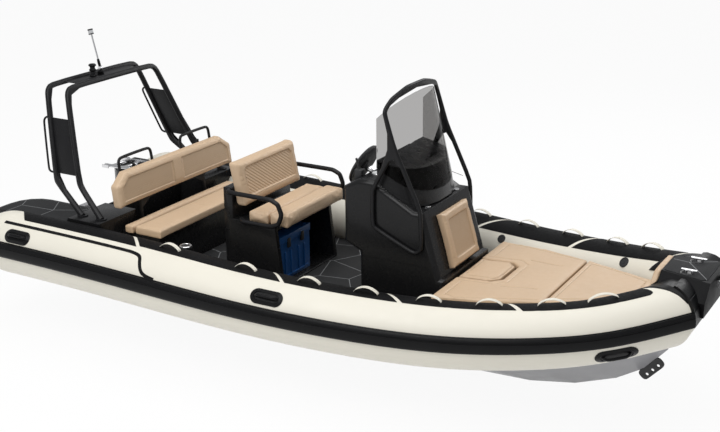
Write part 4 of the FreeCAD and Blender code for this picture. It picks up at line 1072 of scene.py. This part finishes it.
def helm_cushions():
    rear_seam_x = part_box("helm_cushion")[0].x + 0.045
    front_seam_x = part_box("helm_bolster")[1].x - 0.035
    rear_seam = [V((rear_seam_x, y, 0)) for y in (-0.37, 0.37)]
    front_seam = [V((front_seam_x, y, 0)) for y in (-0.38, 0.38)]
    cushion("helm_cushion", DOWN, voxel=0.008, rounding=0.014, seams=[rear_seam])
    cushion("helm_bolster", DOWN, voxel=0.008, rounding=0.020, body="bolster_flap", seams=[front_seam])


def helm_backrest():
    """A sunk panel with cut upper corners, crossed by slanted channels."""
    place, face = leaning(V((1.768, 0, 0.758)), V((1.690, 0, 1.115)))
    low_edge, high_edge, side_edge, corner_cut = 0.078, 0.312, 0.330, 0.035
    half = [(side_edge, low_edge), (side_edge, high_edge - corner_cut), (side_edge - corner_cut, high_edge)]
    corners = [place(-side_edge, low_edge)] + [place(*corner) for corner in half]
    corners += [place(-y, rise) for y, rise in half[:0:-1]]
    spacing, slant = 0.040, 0.74
    channels = []
    for i in range(-9, 17):
        line = []
        for rise in spaced(low_edge + 0.008, high_edge - 0.008, 12):
            y = i * spacing - (rise - low_edge) / slant
            if abs(y) < side_edge - 0.010:
                line.append(place(y, rise))
        if len(line) > 1:
            channels.append(line)
    cushion("helm_back", ASTERN, voxel=0.0082, rounding=0.028, face=face, seams=channels,
            stitches=[closed(corners)], seam_width=0.009, seam_depth=0.004,
            recess=lambda piece: sunk_panel(piece, face, corners, depth=0.010, shoulder=0.010))


def bench_cushions():
    cushion("bench_cushion", DOWN, voxel=0.009, rounding=0.013)
    low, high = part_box("bench_lid")
    seam = [V((x, 0, 0)) for x in (low.x + 0.01, high.x - 0.012)]
    cushion("bench_lid", DOWN, voxel=0.0095, rounding=0.014, body="bench_hatch", seams=[seam],
            seam_width=0.010, seam_depth=0.004)


def bench_backrest():
    """Two sunk panels, each with punched cloth inside its seam."""
    place, face = leaning(V((0.805, 0, 0.690)), V((0.770, 0, 0.975)))
    panels = []
    for side in SIDES:
        panels.append([place(0.055 * side, 0.050), place(0.690 * side, 0.050), place(0.690 * side, 0.165),
                       place(0.605 * side, 0.232), place(0.055 * side, 0.232)])

    def sink(piece):
        for panel in panels:
            sunk_panel(piece, face, panel, depth=0.007, shoulder=0.008)

    back = cushion("bench_back", ASTERN, voxel=0.0098, rounding=0.020, face=face,
                   stitches=[closed(panel) for panel in panels], recess=sink)
    inner = []
    for panel in panels:
        middle = sum(panel, V((0, 0, 0))) / len(panel)
        inner.append([corner.lerp(middle, 0.06) for corner in panel])
    punched_inside(back, face, inner)


def front_seat_cushion():
    top, low = V((3.356, 0, 0.925)), V((3.478, 0, 0.515))
    place, face = leaning(top, low)
    near, far = 0.075, (low - top).length - 0.075
    corners = [place(-0.150, near), place(0.150, near), place(0.150, far), place(-0.150, far)]
    pad = cushion("front_seat_back", face * -1, voxel=0.0075, rounding=0.010, body="front_door", face=face,
                  stitches=[closed(corners)], stem="front_seat")
    punched_inside(pad, face, [corners])


# Rigid pieces with finished edges of the given width, and round tubes

round_tube = {"subdivide": 1, "segments": 2, "sharp": 50.0}


def rigid_nodes():
    for node in ("arch_front_hoop", "arch_rear_hoop", "arch_outer_rails", "bench_frame", "helm_rails",
                 "console_frame"):
        refined(node, TUBE, 0.0015, **round_tube)
    refined("boarding_ladder", STEEL, 0.001, "ladder", **round_tube)
    for node in ("arch_top_plate", "arch_side_plates"):
        refined(node, TUBE, 0.0012)
    for node in ("console", "bow_locker", "after_platforms"):
        refined(node, GLOSS, 0.008)
    refined("bow_cap", CAP, 0.008)
    for node in ("helm_base", "bench_base"):
        refined(node, GLOSS, 0.006, whole=False)
    refined("hull", HULL, 0.006, sharp=25.0)
    refined("transom", HULL, 0.006)
    refined("deck_pad", FOAM, 0.0015)
    refined("platform_pads", FOAM, 0.001)
    refined("bow_roller", PLASTIC, 0.003)
    refined("bow_fittings", STEEL, 0.0015, **round_tube)
    tow_plate()
    refined("console_fittings", STEEL, 0.0015)
    refined("ladder_brackets", STEEL, 0.001)
    refined("throttle", PLASTIC, 0.003)
    refined("cooler", BLUE, 0.010, "cool_box")
    refined("light_mast", STEEL, 0.001, "mast", **round_tube)
    refined("steering_wheel", PLASTIC, 0.0015, "wheel", **round_tube)
    refined("windscreen", ACRYLIC, 0.001, sharp=60.0)


def tow_plate():
    """The rounded plate under the bow with its three holes."""
    middle, slope = V((4.890, 0, -0.030)), math.radians(48.0)
    half_length, half_width, half_depth, rim = 0.100, 0.039, 0.008, 0.0015
    hole_radius, hole_step, hole_rise = 0.013, 0.055, -0.01275
    outline = []
    for centre, start in ((half_length - half_width, -90.0), (half_width - half_length, 90.0)):
        for turn in spaced(start, start + 180.0, 13):
            angle = math.radians(turn)
            radius = half_width * (abs(math.cos(angle)) ** 3 + abs(math.sin(angle)) ** 3) ** (-1 / 3)
            outline.append((centre + radius * math.cos(angle), radius * math.sin(angle)))
    rings = [outline]
    for x in (-hole_step, 0, hole_step):
        rings.append([(x + hole_radius * math.cos(turn), hole_rise + hole_radius * math.sin(turn))
                      for turn in around(28)])
    curve = bpy.data.curves.new("tow_plate_outline", "CURVE")
    curve.dimensions = "2D"
    curve.fill_mode = "BOTH"
    curve.extrude = half_depth - rim
    curve.bevel_depth = rim
    for ring in rings:
        line = curve.splines.new("POLY")
        line.points.add(len(ring) - 1)
        line.use_cyclic_u = True
        for point, (x, z) in zip(line.points, ring):
            point.co = (x, z, 0, 1)
    holder = placed("tow_plate_outline", curve)
    mesh = bpy.data.meshes.new_from_object(holder.evaluated_get(bpy.context.evaluated_depsgraph_get()))
    bpy.data.objects.remove(holder)
    right, above = V((math.cos(slope), 0, math.sin(slope))), V((-math.sin(slope), 0, math.cos(slope)))
    turn = Matrix((right, above, right.cross(above))).transposed().to_4x4()
    mesh.transform(Matrix.Translation(middle) @ turn)
    smooth_shaded(mesh, 40.0)
    hand_over(placed("tow_plate_rounded", mesh), PLASTIC, nodes=("tow_plate",))


# Small fittings; each profile holds (radius, height along the axis)

cleat_well = ((0.044, 0.0), (0.044, 0.0052), (0.040, 0.0062), (0.034, 0.0045), (0.0005, 0.0045))
gauge_rim = ((0.050, -0.002), (0.050, 0.006), (0.044, 0.010), (0.041, 0.010), (0.041, 0.006), (0.0005, 0.006))
gauge_face = ((0.040, 0.0), (0.040, 0.0057), (0.0385, 0.0072), (0.0005, 0.0072))
screen_stud = ((0.012, -0.001), (0.012, 0.003), (0.009, 0.006), (0.004, 0.0072), (0.0005, 0.0072))
mast_lens = ((0.0205, -0.036), (0.0215, -0.034), (0.0215, -0.010), (0.0195, -0.006), (0.0005, -0.006))
lens_rings = (((0.0225, -0.044), (0.0225, -0.036), (0.0205, -0.035), (0.0005, -0.035)),
              ((0.0225, -0.008), (0.0225, 0.001), (0.0195, 0.004), (0.0005, 0.004)))
post_flanges = (((0.021, -0.001), (0.030, -0.001), (0.031, 0.006), (0.024, 0.012), (0.021, 0.014)),
                ((0.021, 0.038), (0.029, 0.046), (0.029, 0.054), (0.021, 0.062)),
                ((0.021, 0.078), (0.032, 0.086), (0.032, 0.095), (0.024, 0.102), (0.0005, 0.104)))
foot_flanges = (((0.023, 0.001), (0.031, 0.003), (0.031, 0.008), (0.023, 0.010)),
                ((0.023, 0.014), (0.031, 0.016), (0.031, 0.021), (0.023, 0.023)))
mast_sleeve = ((0.0085, 0.016), (0.012, 0.018), (0.0125, 0.050), (0.0105, 0.074), (0.0085, 0.078))
filler_ring = ((0.047, -0.004), (0.047, 0.005), (0.043, 0.0085), (0.036, 0.0085), (0.034, 0.006),
               (0.034, 0.003))
filler_seat = ((0.060, -0.060), (0.054, -0.006), (0.050, -0.002), (0.0005, -0.002))
filler_plug = ((0.035, 0.001), (0.035, 0.0062), (0.012, 0.0062), (0.011, 0.0085), (0.0005, 0.0085))
mast_rake = math.radians(14.0)
mast_axis = V((-math.sin(mast_rake), 0, math.cos(mast_rake)))
mast_pivot = V((0.010, 0, 1.6145))
pivot_height = 0.0495
black_post_y = -0.095
filler_place = (1.505, 122.0, 0.026)


def arch_dressing():
    """Flanges on the black post and the mast's foot, and the sleeve at the mast's lower end."""
    foot = mast_pivot - UP * pivot_height
    post = foot + ACROSS * black_post_y
    parts = [lathe(profile, post, UP) for profile in post_flanges]
    parts += [lathe(profile, foot, UP) for profile in foot_flanges]
    new_piece("arch_flanges", parts, RUB)
    new_piece("mast_sleeve", [lathe(mast_sleeve, mast_pivot, mast_axis, 24)], RUB, "mast")


def filler_cap():
    """The fuel filler on the starboard patch: a bright ring round a dark cap."""
    seat = collar_point(*filler_place)
    for name, profile, surface in (("filler_ring", filler_ring, STEEL), ("filler_seat", filler_seat, PATCH),
                                   ("filler_plug", filler_plug, PLASTIC)):
        new_piece(name, [lathe(profile, seat, UP, 40)], surface)


def bow_cap_dressing():
    """Foam on the cap's flat top and dark wells for the cleats."""
    low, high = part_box("bow_cap")
    aft, front, corner = low.x + 0.016, high.x - 0.030, high.x - 0.060
    cleat_x, cleat_y = 5.105, 0.120

    def top(x):
        return high.z - 0.012 * (x - low.x) / (high.x - low.x)

    half = [(aft, 0.143), (corner, 0.196), (front, 0.160)]
    outline = [(x, -y) for x, y in half] + half[::-1]
    foam = plate_form(outline, lambda x: top(x) - 0.002, lambda x: top(x) + 0.004)
    edged(new_piece("bow_cap_foam", [foam], FOAM), 0.0015)
    wells = [lathe(cleat_well, V((cleat_x, cleat_y * side, top(cleat_x))), UP) for side in SIDES]
    new_piece("cleat_wells", wells, GLOSS)


def console_seams():
    """Thin dark joints on the console's two sides."""
    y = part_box("console")[1].y - 0.0002
    seams = []
    for side in SIDES:
        for first, second in (((2.930, 1.088), (3.230, 1.024)), ((2.800, 0.560), (3.330, 0.560))):
            start, end = V((first[0], y * side, first[1])), V((second[0], y * side, second[1]))
            along = (end - start).normalized()
            size = ((end - start).length, 0.0035, 0.0016)
            seams.append(tilted_box((start + end) / 2, along, ACROSS.cross(along), size))
    new_piece("console_seams", seams, RUB)


def surface_of(node):
    """The node's surface, ready for rays in the frame's coordinates."""
    place = NODES[node].matrix_world
    mesh = NODES[node].data
    return BVHTree.FromPolygons([place @ vertex.co for vertex in mesh.vertices],
                                [tuple(polygon.vertices) for polygon in mesh.polygons])


def screen_studs():
    """Snap studs where rays from each side meet the windscreen."""
    screen = surface_of("windscreen")
    studs = []
    for x, z in ((3.058, 1.083), (3.236, 1.066)):
        for side in SIDES:
            place, normal, _, _ = screen.ray_cast(V((x, 0.6 * side, z)), ACROSS * -side)
            if place:
                studs.append(lathe(screen_stud, place, normal, 24))
    if studs:
        new_piece("screen_studs", studs, STEEL)


def console_dressing():
    """Two gauges and a row of switches on the dash, then seams and studs."""
    dash_x, dash_z = 2.825, 1.140
    gauges = [V((dash_x, y, dash_z)) for y in (-0.20, -0.07)]
    new_piece("gauge_rims", [lathe(gauge_rim, place, UP, 36) for place in gauges], STEEL)
    new_piece("gauge_faces", [lathe(gauge_face, place, UP, 28) for place in gauges], DIAL)
    first_y, step, size = 0.06, 0.045, (0.050, 0.030, 0.012)
    switches = [tilted_box(V((dash_x, first_y + step * i, dash_z + 0.005)), AHEAD, ACROSS, size)
                for i in range(5)]
    edged(new_piece("switch_row", switches, PLASTIC), 0.002)
    console_seams()
    screen_studs()


def cooler_dressing():
    """Ribs and two latches on the cool box."""
    low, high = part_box("cooler")
    middle = (low + high) / 2
    rib_x = high.x - 0.006
    rib_size = (0.016, high.z - low.z - 0.170, 0.012)
    parts = []
    for y in (low.y + 0.085, low.y + 0.165, high.y - 0.165, high.y - 0.085):
        parts.append(tilted_box(V((rib_x, y, middle.z - 0.055)), ACROSS, UP, rib_size))
    sill_size = (high.y - low.y - 0.06, 0.014, 0.012)
    parts.append(tilted_box(V((rib_x, middle.y, low.z + 0.030)), ACROSS, UP, sill_size))
    edged(new_piece("cooler_ribs", parts, BLUE, "cool_box"), 0.004)
    latches = [tilted_box(V((high.x + 0.002, y, high.z - 0.068)), ACROSS, UP, (0.038, 0.075, 0.016))
               for y in (low.y + 0.125, high.y - 0.125)]
    edged(new_piece("cooler_latches", latches, PLASTIC, "cool_box"), 0.004)


def lamp_dressing():
    """A pale lens between two dark collars at the head of the mast."""
    points = coordinates(NODES["light_mast"].data)
    heights = points @ numpy.array(mast_axis)
    head = NODES["light_mast"].matrix_world @ V(points[heights > heights.max() - 0.003].mean(axis=0))
    new_piece("mast_lens", [lathe(mast_lens, head, mast_axis)], LENS, "mast")
    new_piece("mast_lens_rings", [lathe(ring, head, mast_axis) for ring in lens_rings], PLASTIC, "mast")


def fittings():
    arch_dressing()
    filler_cap()
    bow_cap_dressing()
    console_dressing()
    cooler_dressing()
    lamp_dressing()


# Floor, light and camera

floor_half_size = 40.0
floor_shade = 0.93
floor_glow = 0.93
sky_colour = (0.97, 0.98, 1.0, 1)
sky_strength = 0.43
lamp_target = V((2.6, 0, 0.5))
# Each lamp as (name, place, size, power)
lamps = (("key", (1.0, -6.0, 7.5), 5.0, 350.0), ("top", (3.0, 0.0, 9.0), 7.0, 350.0),
         ("rear", (3.5, 7.0, 5.0), 4.0, 135.0))
camera_place = (6.885, -7.395, 3.654)
camera_azimuth, camera_elevation, camera_roll = [math.radians(angle) for angle in (30.376, 18.985, -0.549)]
camera_lens = 58.82
sensor_width = 36.0


def seen_white(owner, lit, white_kind, rays, share, output):
    """Shows plain white to the named kinds of ray, up to a share of what they see."""
    path = add_node(owner, "ShaderNodeLightPath").outputs
    seen = path[rays[0]]
    for ray in rays[1:]:
        seen = combine(owner, "MAXIMUM", seen, path[ray])
    white = add_node(owner, white_kind)
    fill_inputs(white, {"Color": (1, 1, 1, 1), "Strength": 1.0})
    mix = add_node(owner, "ShaderNodeMixShader")
    sources = (combine(owner, "MULTIPLY", seen, share), lit.outputs[0], white.outputs[0])
    for source, socket in zip(sources, mix.inputs):
        link(owner, source, socket)
    link(owner, mix.outputs[0], owner.node_tree.nodes[output].inputs["Surface"])


def studio_floor():
    """A matt white floor that also glows white towards the camera, so that its shadows stay pale."""
    half, keel = floor_half_size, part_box("hull")[0].z
    floor = bpy.data.meshes.new("floor")
    corners = [(-half, -half, keel), (half, -half, keel), (half, half, keel), (-half, half, keel)]
    floor.from_pydata(corners, [], [(0, 1, 2, 3)])
    material = base_material("floor_white", (floor_shade,) * 3, 0.9)
    rays = ("Is Camera Ray", "Is Glossy Ray", "Is Transmission Ray")
    seen_white(material, shader_of(material), "ShaderNodeEmission", rays, floor_glow, "Material Output")
    floor.materials.append(material)
    placed("floor", floor)


def studio_sky():
    """A soft sky for the light, seen as plain white."""
    world = bpy.data.worlds.new("studio")
    scene.world = world
    world.use_nodes = True
    sky = world.node_tree.nodes["Background"]
    fill_inputs(sky, {"Color": sky_colour, "Strength": sky_strength})
    rays = ("Is Camera Ray", "Is Transmission Ray")
    seen_white(world, sky, "ShaderNodeBackground", rays, 1.0, "World Output")


def studio_lamps():
    for name, place, size, power in lamps:
        lamp = bpy.data.lights.new(name, "AREA")
        lamp.size = size
        lamp.energy = power
        holder = placed(name, lamp)
        holder.location = place
        holder.rotation_euler = (lamp_target - V(place)).to_track_quat("-Z", "Y").to_euler()


def camera():
    """Placed where the photograph was taken from."""
    level = V((-math.sin(camera_azimuth), math.cos(camera_azimuth), 0))
    ahead = level * math.cos(camera_elevation) - UP * math.sin(camera_elevation)
    right = V((math.cos(camera_azimuth), math.sin(camera_azimuth), 0))
    above = right.cross(ahead)
    turned_right = right * math.cos(camera_roll) + above * math.sin(camera_roll)
    turned_up = above * math.cos(camera_roll) - right * math.sin(camera_roll)
    data = bpy.data.cameras.new("camera")
    data.sensor_width = sensor_width
    data.lens = camera_lens
    data.clip_end = 200.0
    holder = placed("camera", data)
    turn = Matrix((turned_right, turned_up, ahead * -1)).transposed().to_4x4()
    holder.matrix_world = Matrix.Translation(camera_place) @ turn
    scene.camera = holder


scene.view_settings.view_transform = "Standard"
collar_trim()
rigid_nodes()
fittings()
bow_cushions()
helm_cushions()
helm_backrest()
bench_cushions()
bench_backrest()
front_seat_cushion()
studio_floor()
studio_sky()
studio_lamps()
camera()
